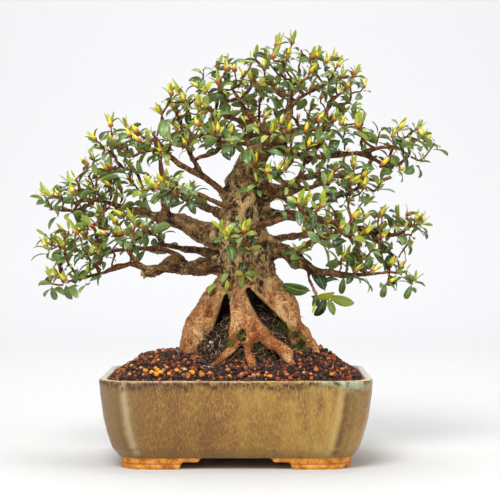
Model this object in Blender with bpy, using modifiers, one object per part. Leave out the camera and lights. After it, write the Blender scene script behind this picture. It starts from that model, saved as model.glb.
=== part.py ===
"""Azalea bonsai in a glazed rectangular pot.

Metres, +Z up, the front of the tree towards -Y and its longest side along X.
The origin is the middle of the pot's footprint, on the surface that the pot stands on.
Heights of the tree and of the soil are given above the pot's rim, so both rise and sink with it.
"""

import math

import bmesh
import bpy
from mathutils import Vector, noise

MM = 0.001

# Pot
RIM_LENGTH = 0.260
RIM_WIDTH = 0.190
POT_HEIGHT = 0.0853
POT_TAPER = 0.018  # how far each wall leans in from the rim down to the foot
CORNER_REACH = 0.025  # length of a corner lobe along each side
CORNER_FLATTENING = 0.08
GROOVE_DEPTH = 0.0022  # upright groove where a lobe meets a panel
GROOVE_WIDTH = 0.0035
WALL = 0.007
FLOOR = 0.008
FLOOR_ROUNDING = 0.003
RIM_ROUNDING = 0.0014
# (share of the height above the foot, share of the taper)
WALL_CURVE = ((0.0, 1.0), (0.05, 0.86), (0.12, 0.65), (0.30, 0.42), (0.51, 0.22), (0.80, 0.06), (1.0, 0.0))

# Feet
FOOT_HEIGHT = 0.0108
FOOT_SETBACK = 0.0015  # the foot stands in from the end of the glaze
FOOT_DEPTH = 0.014
FOOT_LENGTH_FRONT = 0.056  # from the corner along the long side
FOOT_LENGTH_SIDE = 0.040
SKIRT_HEIGHT = 0.004  # the thin step that runs on from each foot
SKIRT_LENGTH = 0.019
FOOT_SLANT = 0.004

# Drainage
HOLE_RADIUS = 0.009
HOLE_SPACING = 0.110
SCREEN_SIDE = 0.034
SCREEN_THICKNESS = 0.0010
MESH_OPENING = 0.0040
MESH_PITCH = 0.0060
MESH_COUNT = 5
CLIP_RADIUS = 0.0006
CLIP_TAIL = 0.012

# Soil: (share of the way out to the wall, height above the rim)
GAP = 0.0003  # between pieces that touch
BARK_GAP = 0.00045  # around the uneven bark of the trunk and roots
WALL_GAP = 0.0005  # between the soil and the leaning wall
MOUND_ALONG = ((0.0, 0.024), (0.45, 0.022), (0.60, 0.019), (0.75, 0.0155), (0.85, 0.009), (0.93, 0.002), (1.0, -0.005))
MOUND_ACROSS = ((0.0, 0.024), (0.28, 0.020), (0.45, 0.014), (0.62, 0.006), (0.80, 0.002), (1.0, -0.004))
ROOT_BALL_CENTRE = (0.012, 0.0, 0.002)
ROOT_BALL_REACH = (0.062, 0.047, 0.052)
ANCHOR_WIRE_RADIUS = 0.0007

# Wood
BARK_GRID = 0.0045
BARK_SHARE_KEPT = 0.4  # share of the skin's faces that the smooth stretches need
LIMB_STEP = 0.012

# Each run of wood: (x, y, height above the rim, radius) in millimetres, from its root to its tip
TRUNK_RUNS = {
    "trunk": [(11, 0, 72, 22), (12, 0, 88, 26), (10, 0, 106, 26), (7, -2, 126, 24), (5, -3, 145, 22),
              (5, -2, 165, 20), (7, 1, 182, 18), (12, 3, 200, 15), (25, 3, 217, 12), (40, 1, 231, 10),
              (50, 0, 249, 7), (54, -2, 270, 5), (54, -4, 293, 3.4)],
    "root_left": [(0, -4, 86, 18), (-14, -6, 72, 19), (-28, -8, 54, 17.5), (-39, -10, 37, 16),
                  (-44, -12, 22, 12), (-47, -12, 4, 7)],
    "root_right": [(25, -2, 86, 19), (35, -6, 73, 18), (47, -10, 60, 15.5), (53, -14, 47, 12.5),
                   (58, -16, 34, 9), (60, -17, 18, 6)],
    "root_right_thin": [(57, -12, 47, 8), (66, -11, 40, 6.5), (75, -11, 31, 5), (80, -16, 19, 4.4),
                        (76, -26, 8, 3.8)],
    "root_front": [(7, -14, 82, 16), (7, -24, 67, 13.5), (6, -32, 54, 12)],
    "root_front_left": [(5, -31, 56, 9), (0, -37, 42, 7.5), (-4, -42, 28, 6), (-13, -48, 18, 4.8),
                        (-25, -53, 9, 3.8), (-34, -57, 1, 3)],
    "root_front_mid": [(8, -31, 54, 9), (12, -39, 38, 6.5), (12, -45, 23, 5.4), (15, -51, 12, 4.6),
                       (13, -60, 1, 3.8)],
    "root_front_right": [(12, -30, 56, 10), (26, -38, 41, 7.6), (38, -43, 29, 6.8), (51, -46, 22, 7.2),
                         (50, -50, 11, 5)],
    "root_back_left": [(-3, 12, 84, 17), (-17, 27, 62, 14), (-29, 40, 38, 10), (-37, 50, 18, 7),
                       (-41, 57, 6, 5)],
    "root_back_right": [(24, 12, 84, 16), (35, 28, 60, 12), (45, 41, 36, 9), (51, 52, 16, 6),
                        (56, 60, 5, 4.5)],
}

LIMBS = {
    "lower_left_limb": [
        [(3, 2, 109, 13), (-14, 0, 107, 11), (-31, -4, 103, 9.5), (-51, -8, 104, 9), (-70, -12, 104, 8.5),
         (-84, -15, 100, 8), (-92, -17, 97, 6)],
        [(-84, -15, 99, 4.5), (-96, -20, 108, 3.2), (-105, -26, 120, 2.8), (-113, -32, 131, 2.4),
         (-122, -36, 141, 2)],
        [(-86, -14, 100, 4), (-104, -10, 108, 3.2), (-129, -6, 99, 2.6), (-154, -4, 93, 2.2), (-172, -2, 88, 2)],
        [(-46, -2, 106, 4), (-71, 14, 121, 3.4), (-102, 26, 121, 2.8), (-130, 32, 119, 2.4), (-150, 34, 115, 2)],
    ],
    "left_arch_limb": [
        [(6, 4, 128, 15), (-11, 8, 132, 14), (-34, 16, 138, 12.5), (-55, 22, 149, 10.5), (-71, 26, 152, 7.5),
         (-87, 30, 156, 6), (-104, 36, 161, 4.5), (-127, 44, 167, 3.4), (-149, 46, 171, 2.4), (-168, 44, 167, 2)],
        [(-67, 25, 151, 4.5), (-72, 18, 171, 4), (-74, 14, 191, 3.5), (-76, 10, 210, 3), (-82, 6, 230, 2.4)],
        [(-89, 31, 157, 3.8), (-95, 40, 179, 3.2), (-100, 44, 196, 2.8), (-112, 40, 212, 2.2)],
    ],
    "upper_left_limb": [
        [(9, 2, 166, 9), (-8, -6, 175, 6.5), (-25, -14, 188, 5), (-37, -20, 196, 4.5), (-55, -26, 204, 4),
         (-69, -30, 218, 3), (-80, -32, 233, 2.4)],
        [(-33, -18, 193, 4), (-45, -14, 214, 3.2), (-52, -10, 234, 2.6), (-56, -8, 251, 2.2)],
    ],
    "slim_left_limb": [
        [(6, -10, 157, 6), (-11, -24, 164, 4), (-27, -36, 171, 3.4), (-44, -50, 178, 3), (-56, -64, 182, 2.6),
         (-66, -78, 184, 2.2)],
    ],
    "lower_right_limb": [
        [(21, 0, 121, 13), (33, -4, 122, 11), (48, -8, 119, 10), (62, -12, 110, 8), (76, -16, 102, 6.5),
         (96, -20, 98, 4), (125, -20, 97, 3), (150, -14, 100, 2)],
        [(57, -10, 114, 4.5), (68, -18, 126, 3.6), (83, -26, 134, 3), (98, -28, 139, 2.4)],
        [(66, -13, 107, 3), (71, -20, 92, 2.4), (78, -24, 78, 2)],
    ],
    "middle_right_limb": [
        [(18, 0, 153, 12), (33, 4, 155, 9), (53, 8, 155, 7), (70, 12, 154, 6), (98, 16, 147, 5.2),
         (123, 18, 142, 4.6), (141, 20, 142, 4.4), (151, 21, 149, 3.8)],
        [(129, 19, 142, 3.6), (147, 14, 122, 2.8), (160, 10, 112, 2.2)],
        [(136, 20, 142, 3.4), (153, 16, 135, 2.8), (166, 12, 138, 2.4), (173, 10, 149, 2)],
        [(61, 10, 155, 4), (88, 2, 168, 3.2), (110, -12, 177, 2.6)],
    ],
    "cut_stub": [
        [(21, -8, 177, 8), (38, -18, 177, 6.5), (52, -25, 171, 6), (66, -30, 165, 5)],
    ],
    "right_arch_limb": [
        [(19, 6, 180, 11), (38, 12, 181, 7.5), (53, 18, 185, 6), (68, 24, 193, 5), (94, 30, 195, 4.4),
         (124, 34, 193, 3.4), (144, 34, 190, 2.6), (156, 32, 194, 2)],
    ],
    "long_right_limb": [
        [(42, 2, 222, 8), (60, 0, 214, 5.5), (74, -4, 212, 4.8), (106, -12, 215, 4.2), (127, -16, 214, 3.8),
         (145, -18, 203, 3.2), (158, -18, 204, 2.6), (170, -16, 214, 2)],
        [(121, -15, 215, 3.4), (140, -26, 221, 2.8), (156, -30, 222, 2.2)],
    ],
    "upper_right_limb": [
        [(40, 3, 231, 8), (56, 10, 237, 5.5), (70, 16, 244, 4.4), (84, 18, 254, 3.6), (96, 14, 268, 2.6)],
        [(62, 13, 240, 3.6), (78, 0, 240, 3), (92, -16, 238, 2.4)],
    ],
    "upper_left_high_limb": [
        [(38, 1, 233, 6), (25, 6, 243, 4), (8, 12, 247, 3.4), (-10, 14, 254, 2.8), (-26, 8, 259, 2.2)],
        [(22, 7, 244, 3.2), (11, 2, 257, 2.8), (2, -2, 270, 2.4), (-6, -4, 282, 2)],
    ],
    "crown_right_limb": [
        [(53, -2, 262, 4.5), (65, -8, 272, 3.4), (80, -8, 280, 2.6), (92, -4, 286, 2.2)],
    ],
    "back_left_limb": [
        [(-2, 12, 150, 9), (-18, 36, 158, 7), (-34, 60, 164, 5.5), (-50, 84, 170, 4), (-60, 102, 176, 2.6)],
    ],
    "back_right_limb": [
        [(20, 12, 168, 8), (42, 36, 176, 6), (66, 60, 182, 4.6), (88, 82, 188, 3.2), (100, 94, 194, 2.2)],
        [(60, 53, 181, 4), (68, 62, 206, 3), (74, 66, 232, 2.2)],
    ],
    "back_top_limb": [
        [(20, 8, 208, 7), (18, 28, 220, 4.6), (12, 50, 230, 3.6), (8, 74, 240, 2.4)],
        [(14, 44, 227, 3.4), (-8, 56, 230, 2.8), (-34, 64, 234, 2.2)],
    ],
    "back_low_limb": [
        [(18, 14, 124, 9), (34, 40, 130, 6.4), (58, 70, 134, 4.6), (80, 92, 137, 3)],
    ],
    "back_low_left_limb": [
        [(-4, 12, 116, 9), (-28, 38, 118, 6.6), (-58, 62, 122, 4.8), (-82, 80, 127, 3)],
    ],
    "front_limb": [
        [(14, -14, 140, 7), (26, -40, 146, 4.4), (42, -66, 150, 3.2), (56, -88, 154, 2.2)],
    ],
}

# Masses of leaves: centre (x, y, height above the rim) and half sizes (x, y, z), in millimetres
FOLIAGE = {
    "crown_top": ((51, 0, 304), (36, 38, 27)),
    "crown_left": ((-8, -4, 289), (32, 38, 24)),
    "crown_right": ((104, 2, 282), (33, 38, 28)),
    "crown_back": ((32, 62, 272), (34, 30, 22)),
    "upper_left": ((-52, -22, 258), (32, 38, 22)),
    "upper_left_edge": ((-114, 8, 230), (37, 42, 22)),
    "middle_left": ((-68, -40, 219), (26, 32, 15)),
    "far_left": ((-171, 24, 174), (31, 42, 22)),
    "left_inner": ((-124, 16, 182), (30, 40, 22)),
    "lower_left_tip": ((-173, 4, 124), (33, 38, 21)),
    "lower_left_hem": ((-172, 0, 90), (30, 34, 11)),
    "lower_left_inner": ((-112, -22, 139), (37, 36, 21)),
    "front_left": ((-66, -88, 178), (34, 38, 20)),
    "front_centre": ((0, -56, 134), (25, 28, 19)),
    "heart_front": ((34, -52, 192), (29, 28, 22)),
    "heart_high": ((24, -44, 236), (32, 30, 18)),
    "upper_right": ((102, -32, 237), (36, 34, 19)),
    "upper_right_edge": ((171, -12, 224), (32, 40, 24)),
    "middle_right": ((112, -32, 182), (35, 34, 26)),
    "far_right": ((175, 16, 147), (22, 34, 19)),
    "lower_right": ((94, -36, 138), (30, 34, 17)),
    "lower_right_edge": ((137, 2, 133), (33, 38, 24)),
    "lower_right_tip": ((111, -20, 102), (29, 30, 13)),
    "lower_right_hem": ((165, -2, 96), (24, 28, 12)),
    "hanging_rosette": ((83, -25, 72), (15, 14, 15)),
    "front_right": ((62, -104, 158), (32, 31, 18)),
    "back_left": ((-66, 98, 182), (38, 37, 24)),
    "back_right": ((106, 98, 200), (36, 37, 24)),
    "back_top": ((4, 90, 244), (34, 34, 22)),
    "back_upper_left": ((-50, 66, 240), (28, 30, 22)),
    "back_upper_right": ((84, 60, 244), (26, 28, 20)),
    "back_low_right": ((92, 98, 142), (36, 36, 18)),
    "back_low_left": ((-100, 84, 132), (36, 38, 18)),
}

PARTS = "azalea_bonsai"
GUIDES = "cutters"

COLOURS = {
    "glaze": ((0.33, 0.19, 0.07), 0.35),
    "mesh": ((0.03, 0.03, 0.03), 0.6),
    "wire": ((0.30, 0.30, 0.30), 0.4),
    "peat": ((0.07, 0.045, 0.03), 0.95),
    "grit": ((0.13, 0.05, 0.03), 0.9),
    "bark": ((0.30, 0.19, 0.09), 0.85),
    "leaf": ((0.10, 0.22, 0.05), 0.5),
}


def clear_scene():
    for item in list(bpy.data.objects):
        bpy.data.objects.remove(item, do_unlink=True)


def collection(name):
    found = bpy.data.collections.get(name)
    if found is None:
        found = bpy.data.collections.new(name)
        bpy.context.scene.collection.children.link(found)
    return found


def material(name):
    """The Principled material of one finish, made once."""
    found = bpy.data.materials.get(name)
    if found is None:
        colour, roughness = COLOURS[name]
        found = bpy.data.materials.new(name)
        found.use_nodes = True
        shader = found.node_tree.nodes["Principled BSDF"]
        shader.inputs["Base Color"].default_value = (*colour, 1.0)
        shader.inputs["Roughness"].default_value = roughness
        shader.inputs["Metallic"].default_value = 1.0 if name == "wire" else 0.0
    return found


def add_mesh(name, mesh, group):
    item = bpy.data.objects.new(name, mesh)
    collection(group).objects.link(item)
    if group == GUIDES:
        item.hide_render = True
        item.display_type = "WIRE"
    return item


def adopt(item, name, group):
    """Take an object made by an operator into one of the two collections."""
    item.name = name
    for holder in list(item.users_collection):
        holder.objects.unlink(item)
    collection(group).objects.link(item)
    if group == GUIDES:
        item.hide_render = True
        item.display_type = "WIRE"
    return item


def finish(item, finish_name):
    item.data.materials.clear()
    item.data.materials.append(material(finish_name))
    item.data.shade_smooth()
    item.data.set_sharp_from_angle(angle=math.radians(40))
    return item


def evaluated_mesh(item):
    """A plain copy of the mesh with its modifiers applied."""
    bpy.context.view_layer.update()
    graph = bpy.context.evaluated_depsgraph_get()
    mesh = bpy.data.meshes.new_from_object(item.evaluated_get(graph))
    mesh.transform(item.matrix_world)
    return mesh


def settle(item):
    """Apply the modifiers and keep the largest body, without the crumbs that a cut leaves loose."""
    mesh = evaluated_mesh(item)
    item.modifiers.clear()
    item.matrix_world.identity()
    shape = bmesh.new()
    shape.from_mesh(mesh)
    bmesh.ops.remove_doubles(shape, verts=shape.verts, dist=0.00001)
    bmesh.ops.dissolve_degenerate(shape, edges=shape.edges, dist=0.00001)
    bodies = []
    seen = set()
    for start in shape.verts:
        if start in seen:
            continue
        body = [start]
        seen.add(start)
        for vert in body:
            for edge in vert.link_edges:
                other = edge.other_vert(vert)
                if other not in seen:
                    seen.add(other)
                    body.append(other)
        bodies.append(body)
    bodies.sort(key=len)
    loose = [vert for body in bodies[:-1] for vert in body]
    bmesh.ops.delete(shape, geom=loose, context="VERTS")
    shape.to_mesh(mesh)
    shape.free()
    item.data = mesh
    return item


def inflated(item, gap):
    """A cutter of the same shape, larger by the gap all over."""
    mesh = evaluated_mesh(item)
    shape = bmesh.new()
    shape.from_mesh(mesh)
    shape.normal_update()
    moves = [vert.normal * gap * vert.calc_shell_factor() for vert in shape.verts]
    for vert, move in zip(shape.verts, moves):
        vert.co += move
    shape.to_mesh(mesh)
    shape.free()
    return add_mesh(item.name + "_clearance", mesh, GUIDES)


def clearances_of(item, gap):
    """Cutters around a piece: the full gap first, then closer ones for creases where the first folds."""
    return [inflated(item, gap * share) for share in (1.0, 0.4, 0.0)]


def combine(target, tool, operation):
    step = target.modifiers.new(operation.lower(), "BOOLEAN")
    step.operation = operation
    step.solver = "EXACT"
    step.object = tool
    return target


def box_of(item):
    bpy.context.view_layer.update()
    corners = [item.matrix_world @ Vector(corner) for corner in item.bound_box]
    low = Vector([min(corner[i] for corner in corners) for i in range(3)])
    high = Vector([max(corner[i] for corner in corners) for i in range(3)])
    return low, high


def boxes_meet(item, other):
    low, high = box_of(item)
    other_low, other_high = box_of(other)
    return all(low[i] < other_high[i] and other_low[i] < high[i] for i in range(3))


def cut_clear(item, clearances):
    """Cut away every clearance that reaches into the piece, then settle it."""
    for clearance in clearances:
        if boxes_meet(item, clearance):
            combine(item, clearance, "DIFFERENCE")
            settle(item)
    return item


def lookup(curve, share):
    """The value at a share on a list of (share, value) points."""
    for (left, low), (right, high) in zip(curve, curve[1:]):
        if share <= right:
            return low + (high - low) * (share - left) / (right - left)
    return curve[-1][1]


def smooth_run(points, step):
    """Even points along a smooth curve through the given ones, as (Vector, radius)."""
    ends = [points[0]] + list(points) + [points[-1]]
    run = []
    for before, start, end, after in zip(ends, ends[1:], ends[2:], ends[3:]):
        pieces = max(1, round(math.dist(start[:3], end[:3]) / step))
        for piece in range(pieces):
            t = piece / pieces
            values = []
            for a, b, c, d in zip(before, start, end, after):
                values.append(b + 0.5 * t * (c - a + t * (2 * a - 5 * b + 4 * c - d + t * (3 * (b - c) + d - a))))
            run.append(values)
    run.append(list(points[-1]))
    return [(Vector(values[:3]), values[3]) for values in run]


def tube(name, run, sides_level, group):
    """A round solid along a run of (Vector, radius), with closed ends, as a mesh object."""
    curve = bpy.data.curves.new(name, "CURVE")
    curve.dimensions = "3D"
    curve.bevel_depth = 1.0
    curve.bevel_resolution = sides_level
    curve.use_fill_caps = True
    spline = curve.splines.new("POLY")
    spline.points.add(len(run) - 1)
    for point, (place, radius) in zip(spline.points, run):
        point.co = (*place, 1.0)
        point.radius = radius
    guide = bpy.data.objects.new(name + "_curve", curve)
    collection(GUIDES).objects.link(guide)
    mesh = evaluated_mesh(guide)
    bpy.data.objects.remove(guide, do_unlink=True)
    shape = bmesh.new()
    shape.from_mesh(mesh)
    bmesh.ops.remove_doubles(shape, verts=shape.verts, dist=0.00001)
    bmesh.ops.recalc_face_normals(shape, faces=shape.faces)
    shape.to_mesh(mesh)
    shape.free()
    return add_mesh(name, mesh, group)


def above_rim(points):
    """Points in millimetres above the rim, as metres in the pot's frame."""
    placed = []
    for x, y, height, radius in points:
        placed.append((x * MM, y * MM, POT_HEIGHT + height * MM, radius * MM))
    return placed


def plan(inset, height, setback=0.0):
    """The pot's outline at one height: four panels, and a lobe between two grooves at each corner."""
    half_x = RIM_LENGTH / 2 - inset - setback
    half_y = RIM_WIDTH / 2 - inset - setback
    reach = CORNER_REACH * (1 - inset / RIM_WIDTH) - setback
    ring = []
    for turn, (sign_x, sign_y) in enumerate(((1, -1), (1, 1), (-1, 1), (-1, -1))):
        centre = Vector((sign_x * (half_x - reach), sign_y * (half_y - reach), height))
        corner = []
        for step in range(9):
            angle = math.radians(step * 11.25)
            flattening = CORNER_FLATTENING * math.sin(2 * angle) ** 2
            radius = reach * (1 - flattening)
            if step in (0, 8):
                radius = reach - GROOVE_DEPTH
            direction = angle + math.radians(90 * (turn - 1))
            corner.append(centre + Vector((math.cos(direction), math.sin(direction), 0)) * radius)
        start = math.radians(90 * (turn - 1))
        along = Vector((math.sin(start), -math.cos(start), 0))
        outward = Vector((math.cos(start), math.sin(start), 0))
        ring.append(centre + outward * reach + along * GROOVE_WIDTH)
        ring.extend(corner)
        end = start + math.radians(90)
        along = Vector((-math.sin(end), math.cos(end), 0))
        outward = Vector((math.cos(end), math.sin(end), 0))
        ring.append(centre + outward * reach + along * GROOVE_WIDTH)
    return ring


def loft(name, rings, group, closed=False):
    """A skin over rings of equal count, each turning anticlockwise seen from above, capped or closed."""
    shape = bmesh.new()
    loops = [[shape.verts.new(point) for point in ring] for ring in rings]
    pairs = list(zip(loops, loops[1:]))
    if closed:
        pairs.append((loops[-1], loops[0]))
    for lower, upper in pairs:
        count = len(lower)
        for i in range(count):
            j = (i + 1) % count
            shape.faces.new((lower[i], lower[j], upper[j], upper[i]))
    if not closed:
        shape.faces.new(list(reversed(loops[0])))
        shape.faces.new(loops[-1])
    bmesh.ops.recalc_face_normals(shape, faces=shape.faces)
    mesh = bpy.data.meshes.new(name)
    shape.to_mesh(mesh)
    shape.free()
    return add_mesh(name, mesh, group)


def box(name, low, high, group):
    bpy.ops.mesh.primitive_cube_add(size=1.0)
    item = adopt(bpy.context.object, name, group)
    low = Vector(low)
    high = Vector(high)
    for vert in item.data.vertices:
        vert.co = [low[i] + (vert.co[i] + 0.5) * (high[i] - low[i]) for i in range(3)]
    return item


def flat_solid(name, outline, half_thickness, turn):
    """A flat outline in X and Z made thick along Y, then turned about Z, as a cutter."""
    curve = bpy.data.curves.new(name, "CURVE")
    curve.dimensions = "2D"
    curve.fill_mode = "BOTH"
    curve.extrude = half_thickness
    spline = curve.splines.new("POLY")
    spline.points.add(len(outline) - 1)
    spline.use_cyclic_u = True
    for point, (x, z) in zip(spline.points, outline):
        point.co = (x, z, 0.0, 1.0)
    guide = bpy.data.objects.new(name + "_curve", curve)
    guide.rotation_euler = (math.radians(90), 0.0, turn)
    collection(GUIDES).objects.link(guide)
    mesh = evaluated_mesh(guide)
    bpy.data.objects.remove(guide, do_unlink=True)
    shape = bmesh.new()
    shape.from_mesh(mesh)
    bmesh.ops.remove_doubles(shape, verts=shape.verts, dist=0.00001)
    bmesh.ops.recalc_face_normals(shape, faces=shape.faces)
    shape.to_mesh(mesh)
    shape.free()
    return add_mesh(name, mesh, GUIDES)


def wall_inset(height):
    """How far the outer wall stands in from the rim at a height."""
    share = (height - FOOT_HEIGHT) / (POT_HEIGHT - FOOT_HEIGHT)
    return POT_TAPER * lookup(WALL_CURVE, max(0.0, share))


def cavity_inset(height):
    return wall_inset(height) + WALL


def floor_top():
    return FOOT_HEIGHT + FLOOR


def cavity_profile():
    """The inner wall from the floor up, as (height, inset from the rim)."""
    floor = floor_top()
    heights = [floor + FLOOR_ROUNDING]
    for share, _ in WALL_CURVE:
        height = FOOT_HEIGHT + share * (POT_HEIGHT - FOOT_HEIGHT)
        if heights[0] + 0.004 < height < POT_HEIGHT - 0.006:
            heights.append(height)
    profile = [(floor, cavity_inset(floor) + FLOOR_ROUNDING)]
    profile.extend((height, cavity_inset(height)) for height in heights)
    return profile


def foot_gap_outline(half_side, foot_length):
    """The opening between two feet, with the thin step of each foot left over it."""
    foot_end = half_side - foot_length
    skirt_end = foot_end - SKIRT_LENGTH
    step = FOOT_HEIGHT - SKIRT_HEIGHT
    top = FOOT_HEIGHT + 0.004
    right = [(foot_end, -0.002), (foot_end - FOOT_SLANT, step), (skirt_end, step),
             (skirt_end - FOOT_SLANT / 2, FOOT_HEIGHT), (skirt_end - FOOT_SLANT / 2, top)]
    left = [(-x, z) for x, z in reversed(right)]
    return left + right


def make_feet():
    """Four corner feet: a ring of raw clay, opened in the middle of each side."""
    inset = POT_TAPER + FOOT_SETBACK
    outer = ((0.0, 0.0010), (0.35, 0.0), (0.45, 0.0007), (0.55, 0.0), (1.12, 0.0))
    rings = [plan(inset, FOOT_HEIGHT * share, setback) for share, setback in outer]
    rings.append(plan(inset, FOOT_HEIGHT * 1.12, FOOT_DEPTH))
    rings.append(plan(inset, 0.0, FOOT_DEPTH))
    feet = loft("foot_ring", rings, GUIDES, closed=True)
    half_length = RIM_LENGTH / 2 - inset
    half_width = RIM_WIDTH / 2 - inset
    front_gap = flat_solid("front_gap", foot_gap_outline(half_length, FOOT_LENGTH_FRONT), RIM_WIDTH, 0.0)
    side_gap = flat_solid("side_gap", foot_gap_outline(half_width, FOOT_LENGTH_SIDE), RIM_LENGTH,
                          math.radians(90))
    combine(feet, front_gap, "DIFFERENCE")
    combine(feet, side_gap, "DIFFERENCE")
    return feet


def hole_places():
    return {"left": -HOLE_SPACING / 2, "right": HOLE_SPACING / 2}


def make_pot():
    """The fired pot: wall, rounded rim, floor, four feet and two drainage holes."""
    rings = [plan(POT_TAPER + FOOT_SETBACK, FOOT_HEIGHT, 0.0)]
    rings.append(plan(POT_TAPER, FOOT_HEIGHT + 0.0004))
    for share, _ in WALL_CURVE[1:-1]:
        height = FOOT_HEIGHT + share * (POT_HEIGHT - FOOT_HEIGHT)
        rings.append(plan(wall_inset(height), height))
    rings.append(plan(0.0, POT_HEIGHT - RIM_ROUNDING))
    rings.append(plan(RIM_ROUNDING, POT_HEIGHT))
    rings.append(plan(WALL - RIM_ROUNDING, POT_HEIGHT))
    rings.append(plan(WALL, POT_HEIGHT - RIM_ROUNDING))
    for height, inset in reversed(cavity_profile()):
        rings.append(plan(inset, height))
    pot = loft("pot", rings, PARTS)
    combine(pot, make_feet(), "UNION")
    for side, x in hole_places().items():
        bpy.ops.mesh.primitive_cylinder_add(vertices=20, radius=HOLE_RADIUS, depth=4 * FLOOR,
                                            location=(x, 0.0, floor_top()))
        combine(pot, adopt(bpy.context.object, "drain_" + side, GUIDES), "DIFFERENCE")
    return finish(settle(pot), "glaze")


def make_screen(side, x):
    """A square of plastic mesh over a drainage hole."""
    bottom = floor_top() + GAP
    half = SCREEN_SIDE / 2
    screen = box("drainage_mesh_" + side, (x - half, -half, bottom), (x + half, half, bottom + SCREEN_THICKNESS),
                 PARTS)
    reach = MESH_PITCH * (MESH_COUNT - 1) / 2
    start = Vector((x - reach, -reach, bottom + SCREEN_THICKNESS / 2))
    size = Vector((MESH_OPENING, MESH_OPENING, SCREEN_THICKNESS * 3))
    punch = box("mesh_punch_" + side, start - size / 2, start + size / 2, GUIDES)
    for axis in range(2):
        rows = punch.modifiers.new("rows", "ARRAY")
        rows.count = MESH_COUNT
        rows.use_relative_offset = False
        rows.use_constant_offset = True
        offset = [0.0, 0.0, 0.0]
        offset[axis] = MESH_PITCH
        rows.constant_offset_displace = offset
    combine(screen, punch, "DIFFERENCE")
    return finish(settle(screen), "mesh")


def clip_bar_height():
    return floor_top() + GAP + SCREEN_THICKNESS + GAP + CLIP_RADIUS


def make_clip(side, x):
    """A wire staple that holds the mesh: over the top, down through the hole and out under the floor."""
    top = clip_bar_height()
    under = FOOT_HEIGHT - GAP - CLIP_RADIUS
    leg = MESH_PITCH
    half = [Vector((leg - 0.0015, 0.0, top)), Vector((leg, 0.0, top - 0.0015)), Vector((leg, 0.0, under + 0.002)),
            Vector((leg + 0.002, 0.0, under)), Vector((leg + CLIP_TAIL, 0.0, under))]
    route = [Vector((-point.x, point.y, point.z)) for point in reversed(half)] + half
    run = [(point + Vector((x, 0.0, 0.0)), CLIP_RADIUS) for point in route]
    return finish(tube("mesh_clip_" + side, run, 2, PARTS), "wire")


def mound_height(x, y, share):
    """Height of the soil above the rim at a place that lies a share of the way out to the wall."""
    reach_x = abs(x) / RIM_LENGTH
    reach_y = abs(y) / RIM_WIDTH
    along = reach_x ** 2 / max(reach_x ** 2 + reach_y ** 2, 1e-9)
    height = lookup(MOUND_ALONG, share) * along + lookup(MOUND_ACROSS, share) * (1 - along)
    unevenness = 0.0016 * noise.noise(Vector((x, y, 0.0)) * 60)
    return height + unevenness * (1 - share)


def make_soil(clearances):
    """The gritty fill of the pot and the mound over it, cut clear of all that stands in it."""
    rings = []
    bottom = floor_top() + GAP
    for height, inset in cavity_profile():
        rings.append(plan(inset + WALL_GAP, max(height, bottom)))
    edge = plan(cavity_inset(POT_HEIGHT + MOUND_ALONG[-1][1]) + WALL_GAP, 0.0)
    for share in (1.0, 0.93, 0.85, 0.75, 0.62, 0.48, 0.34, 0.20, 0.07):
        ring = []
        for point in edge:
            x = point.x * share
            y = point.y * share
            ring.append(Vector((x, y, POT_HEIGHT + mound_height(x, y, share))))
        rings.append(ring)
    soil = loft("grit_soil", rings, PARTS)
    for side, x in hole_places().items():
        half = SCREEN_SIDE / 2 + GAP
        top = clip_bar_height() + CLIP_RADIUS + GAP
        recess = box("screen_recess_" + side, (x - half, -half, bottom - 0.002), (x + half, half, top), GUIDES)
        combine(soil, recess, "DIFFERENCE")
    settle(soil)
    cut_clear(soil, clearances)
    return finish(soil, "grit")


def lumpy(item, depth, size, offset):
    """Push the surface in and out by smooth noise."""
    for vert in item.data.vertices:
        push = noise.noise((vert.co + Vector(offset)) / size)
        vert.co += vert.normal * push * depth
    item.data.update()
    return item


def blob(name, centre, reach, level, depth, size, group):
    """A lumpy rounded mass about a centre."""
    bpy.ops.mesh.primitive_ico_sphere_add(subdivisions=level, radius=1.0)
    item = adopt(bpy.context.object, name, group)
    centre = Vector(centre)
    for vert in item.data.vertices:
        vert.co = Vector([vert.co[i] * reach[i] for i in range(3)]) + centre
    item.data.update()
    return lumpy(item, depth, size, (0.3, 0.7, 0.1))


def make_root_ball(clearances):
    """The old fibrous soil that the roots grip, partly above the grit."""
    centre = Vector(ROOT_BALL_CENTRE) + Vector((0.0, 0.0, POT_HEIGHT))
    ball = blob("root_ball", centre, ROOT_BALL_REACH, 3, 0.003, 0.02, PARTS)
    cut_clear(ball, clearances)
    return finish(ball, "peat")


def make_trunk():
    """The trunk with its surface roots, grown together: one skin over all its runs."""
    runs = []
    for name, points in TRUNK_RUNS.items():
        runs.append(tube(name, smooth_run(above_rim(points), 0.012), 2, GUIDES))
    shape = bmesh.new()
    for run in runs:
        shape.from_mesh(run.data)
        bpy.data.objects.remove(run, do_unlink=True)
    mesh = bpy.data.meshes.new("trunk")
    shape.to_mesh(mesh)
    shape.free()
    trunk = add_mesh("trunk", mesh, PARTS)
    skin = trunk.modifiers.new("skin", "REMESH")
    skin.mode = "VOXEL"
    skin.voxel_size = BARK_GRID
    soften = trunk.modifiers.new("soften", "SMOOTH")
    soften.factor = 0.5
    soften.iterations = 2
    thin = trunk.modifiers.new("thin", "DECIMATE")
    thin.ratio = BARK_SHARE_KEPT
    settle(trunk)
    lumpy(trunk, 0.0022, 0.022, (0.0, 0.0, 0.0))
    return finish(trunk, "bark")


def make_limb(name, runs, clearances):
    """One limb with its forks, joined into one piece and cut clear of the wood that it grows from."""
    solids = []
    for number, points in enumerate(runs):
        group = PARTS if number == 0 else GUIDES
        run = smooth_run(above_rim(points), LIMB_STEP)
        solids.append(tube(name if number == 0 else name + "_fork", run, 1, group))
    limb = solids[0]
    for fork in solids[1:]:
        combine(limb, fork, "UNION")
    settle(limb)
    cut_clear(limb, clearances)
    return finish(limb, "bark")


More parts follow.
